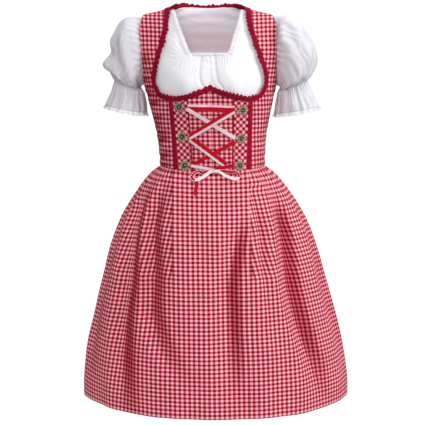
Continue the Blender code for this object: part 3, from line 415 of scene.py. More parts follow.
@dataclass(frozen=True)
class ClothRuler:
    """Flat cloth places of marks: how far round the body and how far up they lie, in metres."""

    angles: Array
    levels: Array
    around: Array
    upward: Array

    @classmethod
    def of_half(cls, start: float, stop: float, size: int = 120) -> "ClothRuler":
        """Measure the figure between two angles, on a grid of some lines each way."""
        angles, levels = np.linspace(start, stop, size), np.linspace(RULER_FOOT, FIGURE.shoulder_arc, size)
        points = FIGURE.skin(np.stack(np.meshgrid(angles, levels), axis=-1))
        return cls(angles, levels, lengths_along(points, 1), lengths_along(points, 0))

    def measure(self, marks: Array) -> Array:
        """Flat places of marks.

        Args:
            marks: Angles and levels, in the last axis.

        Returns:
            How far from the centre line and how far up they lie, in the last axis.
        """
        angle = np.abs(marks[..., 0])
        order = np.argsort(self.angles)
        column = np.interp(angle, self.angles[order], order.astype(float))
        row = np.interp(marks[..., 1], self.levels, np.arange(len(self.levels), dtype=float))
        low_c = np.clip(column.astype(int), 0, len(self.angles) - 2)
        low_r = np.clip(row.astype(int), 0, len(self.levels) - 2)
        share_c, share_r = column - low_c, row - low_r
        flat = []
        for table in (self.around, self.upward):
            below = blend(table[low_r, low_c], table[low_r, low_c + 1], share_c)
            above = blend(table[low_r + 1, low_c], table[low_r + 1, low_c + 1], share_c)
            flat.append(blend(below, above, share_r))
        flat[0] = np.copysign(flat[0], marks[..., 0])
        return np.stack(flat, axis=-1)


FRONT_RULER = ClothRuler.of_half(0.0, SIDE_SEAM + 0.5)
BACK_RULER = ClothRuler.of_half(CENTRE_BACK, SIDE_SEAM - 0.5)


def lengths_between(along: Array, angles: Array, start: Array | float, stop: Array | float) -> Array:
    """How far it is from one angle to another, along each row of a table of lengths."""
    ends = [np.broadcast_to(end, len(along)) for end in (start, stop)]
    first, last = ([np.interp(at, angles, row) for row, at in zip(along, end)] for end in ends)
    return np.subtract(last, first)


def patch(bottom: Array, top: Array, inner: Array, outer: Array) -> Array:
    """Fill the space between four edges of marks.

    Args:
        bottom: The edge along the foot, from the inner edge to the outer one.
        top: The edge along the head, the same way.
        inner: The inner edge, from the foot up.
        outer: The outer edge, the same way.

    Returns:
        Rows of marks, from the foot up.
    """
    t = np.linspace(0.0, 1.0, len(inner))[:, None, None]
    s = ((bottom[:, 0] - bottom[0, 0]) / (bottom[-1, 0] - bottom[0, 0]))[None, :, None]
    between = blend(bottom[None], top[None], t) + blend(inner[:, None], outer[:, None], s)
    low, high = blend(bottom[0], bottom[-1], s), blend(top[0], top[-1], s)
    return between - blend(low, high, t)


def back_half(edge: Array, shares: Sequence[float], steps: int, foot: float) -> Array:
    """Marks over the right half of the back.

    Args:
        edge: Marks up its outer edge, as they lie on the front.
        shares: How far out its main columns lie, from 0 at the middle line to 1.
        steps: How many columns there are from one of those to the next.
        foot: The height of its lower edge.

    Returns:
        Rows of marks, from the foot up, each from the centre back out.
    """
    outer = pairs(CENTRE_BACK - edge[:, 0], edge[:, 1])
    last = len(shares) - 1
    share = np.interp(np.linspace(0, last, steps * last + 1), np.arange(last + 1), shares)
    low, high = foot + FIGURE.shoulder_rise, FIGURE.shoulder_arc
    bottom = pairs(blend(CENTRE_BACK, outer[0, 0], share), low)
    top = pairs(blend(CENTRE_BACK, outer[-1, 0], share), high)
    up = (outer[:, 1] - outer[0, 1]) / (outer[-1, 1] - outer[0, 1])
    return patch(bottom, top, pairs(CENTRE_BACK, blend(low, high, up)), outer)


def both_halves(half: Array) -> Array:
    """Join a half of the back, which starts at the middle line, to its mirror image."""
    return np.concatenate([half[:, ::-1], half[:, 1:] * MIRROR[: half.shape[-1]]], axis=1)


def mirrored(points: Array, flat: Array, side: Side) -> tuple[Array, Array]:
    """Return a right-hand grid as it is, or its mirror image for the left."""
    if side is Side.RIGHT:
        return points, flat
    return points[:, ::-1] * MIRROR, flat[:, ::-1] * MIRROR[:2]


def crumple(points: Array, size: float, seed: int, count: int = 7) -> Array:
    """A soft random height over places.

    Args:
        points: The places.
        size: The length of a bump.
        seed: What the waves are drawn from.
        count: How many waves are added up.

    Returns:
        Heights from about -1 to 1.
    """
    rng = np.random.default_rng(seed)
    waves = rng.normal(size=(count, 3))
    lengths = np.linalg.norm(waves, axis=1)[:, None]
    waves *= (TURN / size) * rng.uniform(*BUMP_SPREAD, (count, 1)) / lengths
    phases = rng.uniform(0, TURN, count)
    return np.sin(points @ waves.T + phases).sum(axis=-1) / count * BUMP_GAIN


@dataclass(frozen=True)
class Bumps:
    """Soft random bumps: their height, their length, their seed, and how the places are stretched."""

    height: float
    size: float
    seed: int
    stretch: tuple = (1.0, 1.0, 1.0)

    def at(self, points: Array) -> Array:
        """How high they stand at places."""
        return self.height * crumple(points * self.stretch, self.size, self.seed)


def rise(value: Array, start: float, stop: float) -> Array:
    """A soft step from 0 where a value is at start to 1 where it is at stop."""
    return smooth((value - start) / (stop - start))


def flat_of(points: Array) -> Array:
    """Flat places of a grid, measured on the grid itself."""
    return pairs(lengths_along(points, 1), lengths_along(points, 0))


# ---- finishes


def fill(tree: NodeTree, node: Node, inputs: dict) -> None:
    """Set a node's inputs, by name or number, to values or to sockets."""
    for key, value in inputs.items():
        if isinstance(value, NodeSocket):
            tree.links.new(value, node.inputs[key])
        else:
            node.inputs[key].default_value = value


def step(tree: NodeTree, kind: str, inputs: dict | None = None, **settings: object) -> Node:
    """Add one node to a tree.

    Args:
        tree: The tree to add to.
        kind: The node's type.
        inputs: Values or sockets for its inputs, by name or number.
        settings: Its other settings.

    Returns:
        The node.
    """
    made = tree.nodes.new(kind)
    for name, value in settings.items():
        setattr(made, name, value)
    fill(tree, made, inputs or {})
    return made


def calc(tree: NodeTree, operation: str, *values) -> NodeSocket:
    """Add a sum of one or two values to a tree."""
    return step(tree, "ShaderNodeMath", dict(enumerate(values)), operation=operation).outputs[0]


def ease(tree: NodeTree, value: NodeSocket, low: float, high: float) -> NodeSocket:
    """Add a soft step from 0 at low to 1 at high."""
    ends = {"Value": value, "From Min": low, "From Max": high}
    return step(tree, "ShaderNodeMapRange", ends, interpolation_type="SMOOTHSTEP").outputs[0]


def opaque(colour: Paint) -> Paint:
    """A colour as an input takes it."""
    return colour if isinstance(colour, NodeSocket) else (*colour, 1.0)


def tinted(tree: NodeTree, share: NodeSocket, first: Paint, second: Paint, how: str = "MIX") -> NodeSocket:
    """Add a mix of two colours by a share."""
    inputs = {0: share, 6: opaque(first), 7: opaque(second)}
    return step(tree, "ShaderNodeMix", inputs, data_type="RGBA", blend_type=how).outputs[2]


def cloudy(tree: NodeTree, size: float, detail: float = 3.0) -> NodeSocket:
    """Add soft clouds of a size, in metres, over the object."""
    where = step(tree, "ShaderNodeTexCoord").outputs["Object"]
    inputs = {"Vector": where, "Scale": 1.0 / size, "Detail": detail}
    return step(tree, "ShaderNodeTexNoise", inputs).outputs["Fac"]


def threads(tree: NodeTree, u, v, pitch: float) -> NodeSocket:
    """Add the height of a plain weave at a pitch, in the units of u and v."""
    over = calc(tree, "SINE", calc(tree, "MULTIPLY", u, math.pi / pitch))
    under = calc(tree, "SINE", calc(tree, "MULTIPLY", v, math.pi / pitch))
    return calc(tree, "MULTIPLY", over, under)


def flat_place(tree: NodeTree) -> tuple:
    """Add the flat place on the cloth, as its two coordinates."""
    where = step(tree, "ShaderNodeUVMap", uv_map=CLOTH_MAP).outputs[0]
    parts = step(tree, "ShaderNodeSeparateXYZ", {0: where}).outputs
    return parts[0], parts[1]


@dataclass(frozen=True)
class Look:
    """What a surface looks like, as one material."""

    name: str

    def paint(self, tree: NodeTree, shader: Node) -> None:
        """Set the material's shader."""

    def material(self) -> Material:
        """Make the material, or find it if it is made."""
        made = bpy.data.materials.get(self.name)
        if made is None:
            made = bpy.data.materials.new(self.name)
            made.use_nodes = True
            self.paint(made.node_tree, made.node_tree.nodes["Principled BSDF"])
        return made


@dataclass(frozen=True)
class Finish(Look):
    """A cloth's finish: its colour, shine and weave."""

    slot: Slot
    colour: tuple = (0.8, 0.8, 0.8)
    roughness: float = 0.85
    sheen: float = 0.03
    gloss: float = 0.12
    weave: float = 0.0008
    weave_depth: float = 0.25
    weave_height: float = 0.0003
    variation: float = 0.10
    patch_size: float = 0.035
    rough_size: float = 0.02
    rough_spread: float = 0.16
    sheen_roughness: float = 0.45

    def colour_of(self, tree: NodeTree, u: NodeSocket, v: NodeSocket) -> NodeSocket:
        """The colour over the cloth."""
        darker = tuple(part * (1.0 - 2.0 * self.variation) for part in self.colour)
        return tinted(tree, ease(tree, cloudy(tree, self.patch_size), 0.3, 0.7), darker, self.colour)

    def relief(self, tree: NodeTree, u: NodeSocket, v: NodeSocket) -> NodeSocket:
        """The fine height over the cloth."""
        return threads(tree, u, v, self.weave)

    def shine(self, tree: NodeTree, shader: Node, u: NodeSocket, v: NodeSocket) -> None:
        """Set what else the finish needs on its shader."""

    def paint(self, tree: NodeTree, shader: Node) -> None:
        """Set the cloth's shader."""
        u, v = flat_place(tree)
        smoothest = self.roughness - self.rough_spread / 2
        rough = calc(tree, "MULTIPLY_ADD", cloudy(tree, self.rough_size), self.rough_spread, smoothest)
        relief = self.relief(tree, u, v)
        bump = {"Strength": self.weave_depth, "Distance": self.weave_height, "Height": relief}
        inputs = {
            "Base Color": self.colour_of(tree, u, v),
            "Roughness": rough,
            "Specular IOR Level": self.gloss,
            "Sheen Weight": self.sheen,
            "Sheen Roughness": self.sheen_roughness,
            "Normal": step(tree, "ShaderNodeBump", bump).outputs[0],
        }
        fill(tree, shader, inputs)
        self.shine(tree, shader, u, v)


@dataclass(frozen=True)
class Gingham(Finish):
    """A woven check: the flat place counts checks, and each has a coloured and a white half.

    Attributes:
        in_folds: What the colour is multiplied by where shade is painted into folds and puckers.
    """

    light: tuple = (1.0, 0.54, 0.59)
    middle: tuple = (0.66, 0.096, 0.140)
    dark: tuple = (0.19, 0.0, 0.007)
    coloured: float = 0.245
    soft: float = 0.035
    threads_per_check: float = 22.0
    thread_share: float = 0.05
    faded_size: float = 0.05
    in_folds: tuple = (0.58, 0.15, 0.21)

    def colour_of(self, tree: NodeTree, u: NodeSocket, v: NodeSocket) -> NodeSocket:
        """Count how many of the two crossing threads are coloured, tint by the count, and darken by the
        shade painted into folds and puckers.
        """
        bands = []
        for place in (u, v):
            off = calc(tree, "ABSOLUTE", calc(tree, "SUBTRACT", calc(tree, "FRACT", place), 0.5))
            bands.append(ease(tree, off, self.coloured - self.soft, self.coloured + self.soft))
        count = calc(tree, "MULTIPLY", calc(tree, "ADD", *bands), 0.5)
        grain = calc(tree, "MULTIPLY", self.relief(tree, u, v), self.thread_share)
        ramp = step(tree, "ShaderNodeValToRGB", {0: calc(tree, "ADD", count, grain)})
        points = ramp.color_ramp.elements
        points[0].color, points[1].color = opaque(self.light), opaque(self.dark)
        points.new(0.5).color = opaque(self.middle)
        faded = ease(tree, cloudy(tree, self.faded_size), 0.25, 0.75)
        shade = calc(tree, "MULTIPLY_ADD", faded, self.variation, 1.0 - self.variation)
        bright = step(tree, "ShaderNodeHueSaturation", {"Value": shade, "Color": ramp.outputs[0]})
        # painted shade: darken the colour in folds and puckers, by the shade kept on each point
        deep = step(tree, "ShaderNodeAttribute", attribute_name=FOLD_SHADE_MAP).outputs["Fac"]
        return tinted(tree, deep, bright.outputs[0], self.in_folds, "MULTIPLY")

    def relief(self, tree: NodeTree, u: NodeSocket, v: NodeSocket) -> NodeSocket:
        """The height of the check's own threads."""
        return threads(tree, u, v, 1.0 / self.threads_per_check)


@dataclass(frozen=True)
class Lace(Finish):
    """Cotton lace: the flat place runs along it in metres, and across it from 0 at the sewn edge to 1."""

    hole_pitch: float = 0.0034
    hole_size: float = 0.30
    hole_soft: float = 0.05
    rows: float = 2.0
    scallop: float = 0.0068
    scallop_depth: float = 0.22

    def shine(self, tree: NodeTree, shader: Node, u: NodeSocket, v: NodeSocket) -> None:
        """Cut the eyelets and the scalloped edge out of the cloth."""
        row = calc(tree, "MULTIPLY", v, self.rows)
        shift = calc(tree, "MULTIPLY", calc(tree, "FLOOR", row), 0.5)
        along = calc(tree, "ADD", calc(tree, "DIVIDE", u, self.hole_pitch), shift)
        off = [calc(tree, "SUBTRACT", calc(tree, "FRACT", place), 0.5) for place in (along, row)]
        squares = [calc(tree, "MULTIPLY", part, part) for part in off]
        distance = calc(tree, "SQRT", calc(tree, "ADD", *squares))
        solid = ease(tree, distance, self.hole_size - self.hole_soft, self.hole_size + self.hole_soft)
        wave = calc(tree, "ABSOLUTE", calc(tree, "SINE", calc(tree, "MULTIPLY", u, math.pi / self.scallop)))
        edge = calc(tree, "MULTIPLY_ADD", wave, self.scallop_depth, 1.0 - self.scallop_depth)
        inside = calc(tree, "LESS_THAN", v, edge)
        fill(tree, shader, {"Alpha": calc(tree, "MULTIPLY", solid, inside)})


@dataclass(frozen=True)
class Satin(Finish):
    """Satin ribbon: fine ribs run across it."""

    rib: float = 0.0011

    def relief(self, tree: NodeTree, u: NodeSocket, v: NodeSocket) -> NodeSocket:
        """The height of the ribs."""
        return calc(tree, "SINE", calc(tree, "MULTIPLY", u, TURN / self.rib))


@dataclass(frozen=True)
class TurnedSatin(Satin):
    """Satin ribbon with a coloured and a pale face, which turns over along its length.

    Attributes:
        back: The colour of its other face, and of its edges.
        turns_at: How far along it turns, and turn_length how long the turn is.
        edge: How far from its middle line its edges start, and edge_soft how soft they are.
    """

    back: tuple = PINK
    turns_at: float = 0.070
    turn_length: float = 0.002
    edge: float = 0.0030
    edge_soft: float = 0.0003

    def colour_of(self, tree: NodeTree, u: NodeSocket, v: NodeSocket) -> NodeSocket:
        """Show the coloured face up to the turn, between pale edges."""
        near_edge = ease(tree, calc(tree, "ABSOLUTE", v), self.edge, self.edge + self.edge_soft)
        turned = ease(tree, u, self.turns_at, self.turns_at + self.turn_length)
        return tinted(tree, calc(tree, "MAXIMUM", near_edge, turned), self.colour, self.back)


@dataclass(frozen=True)
class Layered(Finish):
    """Thin blouse cotton, with another cloth showing through below a height.

    Attributes:
        below: The colour below that height.
        from_z: The height.
        through: How strongly the cloth glows with its own colour, painted light for the light that comes
            through it.
    """

    below: tuple = (0.73, 0.60, 0.64)
    from_z: float = -0.050
    under: float = 0.006
    over: float = 0.016
    wander: float = 0.012
    wander_size: float = 0.03
    through: float = 0.2

    def colour_of(self, tree: NodeTree, u: NodeSocket, v: NodeSocket) -> NodeSocket:
        """Tint by height, along a soft uneven line."""
        where = step(tree, "ShaderNodeTexCoord").outputs["Object"]
        height = step(tree, "ShaderNodeSeparateXYZ", {0: where}).outputs[2]
        uneven = calc(tree, "MULTIPLY_ADD", cloudy(tree, self.wander_size, 1.0), self.wander, height)
        share = ease(tree, uneven, self.from_z - self.under, self.from_z + self.over)
        return tinted(tree, share, self.below, self.colour)

    def shine(self, tree: NodeTree, shader: Node, u: NodeSocket, v: NodeSocket) -> None:
        """Make the cloth glow with its own colour: painted light for the light that comes through it."""
        # painted light: the cloth glows with its own colour
        glow = {"Emission Color": self.colour_of(tree, u, v), "Emission Strength": self.through}
        fill(tree, shader, glow)


@dataclass(frozen=True)
class Metal(Look):
    """Cast metal that is darker where it is rougher."""

    colour: tuple
    roughness: float
    dark_share: float = 0.35
    rougher: float = 0.2
    metallic: float = 0.9
    spot: float = 0.002
    grain: float = 0.0012
    grain_height: float = 0.0002
    grain_strength: float = 0.3

    def paint(self, tree: NodeTree, shader: Node) -> None:
        """Set the metal's shader."""
        spots = ease(tree, cloudy(tree, self.spot, 4.0), 0.35, 0.65)
        dark = tuple(part * self.dark_share for part in self.colour)
        grain = cloudy(tree, self.grain)
        bump = {"Strength": self.grain_strength, "Distance": self.grain_height, "Height": grain}
        inputs = {
            "Metallic": self.metallic,
            "Base Color": tinted(tree, spots, dark, self.colour),
            "Roughness": calc(tree, "MULTIPLY_ADD", spots, -self.rougher, self.roughness + self.rougher),
            "Normal": step(tree, "ShaderNodeBump", bump).outputs[0],
        }
        fill(tree, shader, inputs)


@dataclass(frozen=True)
class Plain(Look):
    """A smooth surface of one colour."""

    colour: tuple
    roughness: float

    def paint(self, tree: NodeTree, shader: Node) -> None:
        """Set the surface's shader."""
        fill(tree, shader, {"Base Color": opaque(self.colour), "Roughness": self.roughness})


CHECKED = Gingham("gingham_cotton", Slot.GINGHAM, weave_depth=0.2, roughness=0.9, sheen=0.0)
RED_COTTON = Finish("trim_cotton", Slot.TRIM, (0.36, 0.001, 0.028), sheen=0.0)
RUFFLE_COTTON = Finish("ruffled_trim_cotton", Slot.TRIM, (0.27, 0.001, 0.024), sheen=0.0)
RED_SATIN = Satin("red_satin", Slot.RED, (0.58, 0.0, 0.018), roughness=0.6, sheen=0.0)
TURNED_SATIN = TurnedSatin("turned_satin", Slot.RED, (0.50, 0.0, 0.018), roughness=0.6, sheen=0.0)
PALE_SATIN = Satin("pale_satin", Slot.PALE, PINK, roughness=0.5, sheen=0.0, gloss=0.3)
WHITE_COTTON = Finish("blouse_cotton", Slot.COTTON, (0.81, 0.805, 0.84), variation=0.04)
# the blouse's cotton made darker and greyer on the sleeves: painted shade
SHADED_SLEEVE_COTTON = Finish("sleeve_cotton", Slot.COTTON, (0.71, 0.69, 0.74), variation=0.05)
BACK_COTTON = Layered("blouse_back_cotton", Slot.COTTON, (0.77, 0.71, 0.76))
WHITE_LACE = Lace(
    "white_lace", Slot.LACE, (0.93, 0.93, 0.96), variation=0.02, hole_pitch=0.0052, hole_size=0.36
)
# lace at the flounces, darker and greyer than the neckline's: painted shade
SHADED_CUFF_LACE = Lace(
    "cuff_lace", Slot.LACE, (0.80, 0.77, 0.82), variation=0.05, hole_size=0.34, hole_pitch=0.0042,
    rows=2.4, scallop=0.0084, scallop_depth=0.30,
)
THREAD = Finish("sewing_thread", Slot.TRIM, (0.42, 0.01, 0.05), roughness=0.6)
SILVER = Metal("antique_silver", (0.95, 0.88, 0.68), 0.36)
TARNISH = Metal("tarnished_silver", (0.012, 0.010, 0.008), 0.60)
BRIGHT = Metal("bright_bead", (1.0, 0.90, 0.72), 0.25)
FLOOR_PAPER = Plain("floor_paper", (0.72, 0.72, 0.72), 0.9)


# ---- sewing


def pick(*pieces: Object) -> None:
    """Select just these pieces, and make the first one active."""
    bpy.ops.object.select_all(action="DESELECT")
    for piece in reversed(pieces):
        piece.select_set(True)
        bpy.context.view_layer.objects.active = piece


def placed(name: str, data: ID) -> Object:
    """Put a new object with its data in the scene."""
    made = bpy.data.objects.new(name, data)
    bpy.context.scene.collection.objects.link(made)
    return made


@dataclass
class Sheet:
    """A piece of cloth, drawn as a grid of points from its bottom row and its left column.

    Attributes:
        name: The piece's name.
        points: The grid on the inner face, before the figure's stance moves it.
        flat: The flat place of each point on the cloth.
        finish: Its finish.
        wall: Its thickness.
        closed: Whether its last column meets its first.
        deep: How much shade is painted on each point, in folds and puckers, from 0 to 1.
    """

    name: str
    points: Array
    flat: Array
    finish: Finish
    wall: float = 0.0008
    closed: bool = False
    deep: Array | None = None

    def mesh(self) -> Object:
        """Turn the grid into a thin shell."""
        rows, columns = self.points.shape[:2]
        index = np.arange(rows * columns).reshape(rows, columns)
        quads = [index[:-1, :-1], index[:-1, 1:], index[1:, 1:], index[1:, :-1]]
        faces = np.stack([part.ravel() for part in quads], axis=-1)
        mesh = bpy.data.meshes.new(self.name)
        mesh.from_pydata(FIGURE.sway(self.points).reshape(-1, 3).tolist(), [], faces.tolist())
        layer = mesh.uv_layers.new(name=CLOTH_MAP)
        layer.data.foreach_set("uv", self.flat.reshape(-1, 2)[faces.ravel()].astype(np.float32).ravel())
        # keep the shade painted into folds and puckers on each point
        if self.deep is not None:
            painted_shade_layer = mesh.attributes.new(FOLD_SHADE_MAP, "FLOAT", "POINT")
            painted_shade_layer.data.foreach_set("value", self.deep.astype(np.float32).ravel())
        if self.closed:
            shape = bmesh.new()
            shape.from_mesh(mesh)
            bmesh.ops.remove_doubles(shape, verts=shape.verts, dist=1e-6)
            shape.to_mesh(mesh)
            shape.free()
        mesh.materials.append(self.finish.material())
        mesh.shade_smooth()
        piece = placed(sewn(self.name), mesh)
        wall = piece.modifiers.new("wall", "SOLIDIFY")
        wall.thickness, wall.offset = self.wall, 1.0
        pick(piece)
        bpy.ops.object.modifier_apply(modifier=wall.name)
        return piece

    def cut(self) -> tuple[float, float, float]:
        """The width, the length and the area that the cloth was cut to."""
        width = lengths_along(self.points, 1)[:, -1].max()
        length = lengths_along(self.points, 0)[-1].max()
        low, high = self.points[:-1], self.points[1:]
        first = np.cross(low[:, 1:] - low[:, :-1], high[:, 1:] - low[:, :-1])
        second = np.cross(high[:, 1:] - low[:, :-1], high[:, :-1] - low[:, :-1])
        area = (np.linalg.norm(first, axis=-1) + np.linalg.norm(second, axis=-1)).sum() / 2
        return float(width), float(length), float(area)

    def sew(self, held: str, *rests_on: str) -> Object:
        """Args:
            held: How the cloth is held; not used.
            rests_on: The pieces that it lies on or hangs from; not used.

        Returns:
            The piece.
        """
        piece = self.mesh()
        dress(piece, self.finish.slot, self.name)
        width, length, area = self.cut()
        width, length = max(width, NARROWEST_CUT), max(length, NARROWEST_CUT)
        LOG.info("%s: cut %.0f x %.0f mm", piece.name, width * 1000, length * 1000)
        return piece


def sewn(name: str) -> str:
    """The name of the cloth that stands for a node."""
    return f"{name}_cloth"


def dress(piece: Object, slot: Slot, *nodes: str) -> None:
    """Fix a piece to the frame, in place of some nodes."""
    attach(piece, "root")
    if nodes:
        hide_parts(*nodes)


@dataclass(frozen=True)
class Checks:
    """How checks are counted over flat cloth.

    Attributes:
        across: The width of a check.
        upright: The height of a check.
        turn: How far the grain is turned, in degrees.
        start: The share of a check that the count starts from.
    """

    across: float
    upright: float
    turn: float = 0.0
    start: float = 0.0

    def count(self, flat: Array) -> Array:
        """Count the checks across and up to flat places, in the last axis."""
        angle = math.radians(self.turn)
        u = flat[..., 0] * math.cos(angle) + flat[..., 1] * math.sin(angle)
        v = flat[..., 1] * math.cos(angle) - flat[..., 0] * math.sin(angle)
        return pairs(u / self.across + self.start, v / self.upright)


@dataclass
class Stitching:
    """A line of small stitches along a line of points.

    Attributes:
        name: The piece's name.
        finish: The thread.
        radius: Half the thread's thickness.
    """

    name: str
    finish: Finish
    pitch: float = 0.0040
    radius: float = 0.00022
    parts: int = 6
    ends: tuple = (0, 2, 4)
    sides: int = 4

    def sew(self, lines: Sequence[Array], normals: Sequence[Array]) -> Object:
        """Lay a stitch at each step along some lines, as a short thread with pointed ends.

        Args:
            lines: The points of each line.
            normals: The way out of the cloth at each point.

        Returns:
            The stitches, as one piece.
        """
        ring = np.arange(float(self.sides)) * TURN / self.sides
        points, faces = [], []
        for line, outward in zip(lines, normals):
            line = FIGURE.sway(line)
            count = max(2, round(lengths_along(line)[-1] / self.pitch))
            both = spaced(np.hstack([line, outward]), line, count * self.parts + 1)
            for i in range(count):
                start, middle, stop = (both[i * self.parts + part] for part in self.ends)
                way = unit(stop[:3] - start[:3])
                up = unit(middle[3:] - way * (middle[3:] @ way))
                hoop = np.cos(ring)[:, None] * np.cross(way, up) + np.sin(ring)[:, None] * up
                first = len(points)
                points += [start[:3], *(middle[:3] + hoop * self.radius), stop[:3]]
                for k in range(self.sides):
                    low, high = first + 1 + k, first + 1 + (k + 1) % self.sides
                    faces += [(first, high, low), (first + 1 + self.sides, low, high)]
        mesh = bpy.data.meshes.new(self.name)
        mesh.from_pydata([tuple(point) for point in points], [], faces)
        mesh.uv_layers.new(name=CLOTH_MAP)
        mesh.materials.append(self.finish.material())
        mesh.shade_smooth()
        piece = placed(self.name, mesh)
        dress(piece, self.finish.slot)
        return piece


# ---- the bodice


@dataclass
class Bodice:
    """The laced bodice: centre fronts, plackets, side fronts with their straps, and the back.

    Attributes:
        neckline: The sewn neckline's places, from the centre front to the neck point.
        armhole: The armhole's places, from the underarm to the shoulder.
        band_x: How far out the band lies at the waist and at the height line_top_z.
        edge_x: The same for the placket's edge.
        band: The width of the band, and how far its middle stands up.
        piping: The same for the placket's piping.
        cloth: The thickness of the cloth.
        placket_check: The size of a check of the plackets, whose grain is turned by bias, in degrees.
        jog: The share of a check that the centre fronts' count starts from, left and right.
        pucker_from: The angles over which the level puckers of the sides start.
        trough_shade: How strongly shade is painted into the puckers' troughs, left and right; it is stronger
            on the left, which lies in shade.
        back_columns: How far out the back's main columns lie, from 0 at its middle to 1.
    """

    neckline: tuple = (
        (0.000, -0.1805), (0.029, -0.1910), (0.054, -0.1985), (0.080, -0.2040), (0.098, -0.2045),
        (0.115, -0.2005), (0.1265, -0.1895), (0.1325, -0.1745), (0.1330, -0.1550), (0.1295, -0.1340),
        (0.1235, -0.1135), (0.1150, -0.0890), (0.1065, -0.0620), (0.1005, -0.0350), (0.0970, -0.0120),
    )
    armhole: tuple = (
        (0.1610, -0.1720), (0.1615, -0.1500), (0.1625, -0.1200), (0.1640, -0.0900), (0.1655, -0.0700),
        (0.1668, -0.0500), (0.1660, -0.0350), (0.1620, -0.0200),
    )
    under_cup: int = 6
    past_band: int = 5
    tip_x: float = 0.1575
    underarm_z: float = -0.190
    line_top_z: float = -0.2040
    band_x: tuple = (0.0880, 0.0965)
    edge_x: tuple = (0.0485, 0.0560)
    band: tuple = (0.0124, 0.0004)
    piping: tuple = (0.0030, 0.0008)
    strip_lift: float = 0.0017
    cloth: float = 0.0012
    check: tuple = (0.0116, 0.0106)
    strap_check: tuple = (0.0110, 0.0114)
    placket_check: tuple = (0.0112, 0.0112)
    bias: float = 41.0
    jog: tuple = (0.15, 0.45)
    creases: Bumps = Bumps(0.0007, 0.045, 5, (1.0, 1.0, 2.2))
    sink: float = 0.0003
    pucker: float = 0.0020
    pucker_waves: Bumps = Bumps(1.0, 0.034, 31, (0.55, 0.55, 2.1))
    pucker_from: tuple = (44.0, 64.0)
    trough_shade: tuple = (1.0, 0.2)
    back_columns: tuple = (0.0, 0.12, 0.22, 0.29, 0.35, 0.40, 0.44, 0.48, 0.52, 0.57, 0.71, 0.85, 1.0)

    def neckline_marks(self) -> Array:
        """The sewn neckline of the right half, from the centre front to the neck point."""
        spots = np.array(self.neckline)
        marks = FIGURE.mark_of(spots[:, 0], spots[:, 1])
        return np.vstack([marks, FIGURE.ridge_mark(FIGURE.neck_point_x)])

    def neckline_z(self, x: Array) -> Array:
        """Height of the low front of the neckline at distances from the centre."""
        spots = curve_through(np.array(self.neckline[: self.under_cup]))
        return np.interp(np.abs(x), spots[:, 0], spots[:, 1])

    def upright(self, ends: tuple, count: int) -> Array:
        """Marks up an upright line of the front, from the waist seam to the neckline.

        Args:
            ends: How far out the line lies at the waist and at its top.
            count: How many marks.

        Returns:
            The marks, from the waist up.
        """
        foot = FIGURE.mark_of(ends[0], FIGURE.waist_z - FIGURE.waist_dip)
        low = FIGURE.waist_marks(foot[0], foot[0], 1)[0, 1] - FIGURE.shoulder_rise
        z = np.linspace(low, self.neckline_z(ends[1]), count)
        x = blend(*ends, (z - FIGURE.waist_z) / (self.line_top_z - FIGURE.waist_z))
        return FIGURE.mark_of(x, z)

    def side_edge(self, seam: int, armhole: int) -> Array:
        """Marks up the side seam, and up the armhole to the shoulder tip.

        Args:
            seam: How many marks the seam has.
            armhole: How many the armhole has.

        Returns:
            The marks, from the waist up.
        """
        heights = np.linspace(FIGURE.waist_z, self.underarm_z, seam)
        up = np.array([FIGURE.side_mark(z) for z in heights])
        spots = np.array(self.armhole)
        marks = FIGURE.mark_of(spots[:, 0], spots[:, 1])
        corner, tip = FIGURE.side_mark(self.underarm_z), FIGURE.ridge_mark(self.tip_x)
        return np.vstack([up[:-1], FIGURE.through([corner, *marks, tip], armhole)])

    def worn(self, marks: Array, sink: float) -> Array:
        """How far soft creases lift the cloth at marks.

        Args:
            marks: The marks.
            sink: How far they may press the cloth in.

        Returns:
            The lifts; the creases are strongest near the waist and the middle.
        """
        points = FIGURE.skin(marks)
        near_waist = rise(points[..., 2], -0.30, -0.375)
        near_middle = np.clip(1.4 - np.abs(points[..., 0]) / 0.16, 0.2, 1.0)
        return np.maximum(self.creases.at(points) * blend(0.35, 1.0, near_waist) * near_middle, -sink)

    def puckers(self, marks: Array) -> tuple[Array, Array]:
        """The level puckers of the sides.

        Args:
            marks: Marks on the right half.

        Returns:
            How far they lift the cloth, and how much shade is painted in their troughs, from 0 to 1.
        """
        points = FIGURE.skin(marks)
        at_side = rise(marks[..., 0], *self.pucker_from) * rise(points[..., 2], -0.06, -0.14)
        wave = self.pucker_waves.at(points)
        lift = at_side * self.pucker * (0.5 + 0.5 * np.clip(wave, -1.0, 1.0))
        return lift, at_side * smooth(0.5 - 0.9 * wave)

    def piece(self, name: str, marks: Array, checks: Checks, side: Side) -> None:
        """Sew one piece of the front.

        Args:
            name: Its name, before the word for its side.
            marks: Its marks, as they lie on the right half.
            checks: How its checks are counted.
            side: The side that it is on.
        """
        lift, troughs = self.puckers(marks)
        lift = lift + self.worn(marks, self.sink)
        points, flat = mirrored(FIGURE.place(marks, lift), checks.count(FRONT_RULER.measure(marks)), side)
        # painted shade in the puckers' troughs, much stronger on the left side
        deep = self.trough_shade[side.index] * (troughs if side is Side.RIGHT else troughs[:, ::-1])
        cloth = Sheet(f"{name}_{side.word}", points, flat, CHECKED, self.cloth, deep=deep)
        cloth.sew("stretched", "blouse_front")

    def front(self, name: str, edges: Sequence[Array], columns: int, checks: Checks, side: Side) -> None:
        """Sew a piece of the front between two upright lines.

        Args:
            name: Its name, before the word for its side.
            edges: Marks up its inner and its outer line.
            columns: How many marks it has across.
            checks: How its checks are counted.
            side: The side that it is on.
        """
        inner, outer = edges
        bottom = FIGURE.waist_marks(inner[0, 0], outer[0, 0], columns)
        top = blend(inner[-1], outer[-1], np.linspace(0.0, 1.0, columns)[:, None])
        x = FIGURE.skin(top)[:, 0]
        top[:, 1] = FIGURE.mark_of(x, self.neckline_z(x))[:, 1]
        self.piece(name, patch(bottom, top, inner, outer), checks, side)

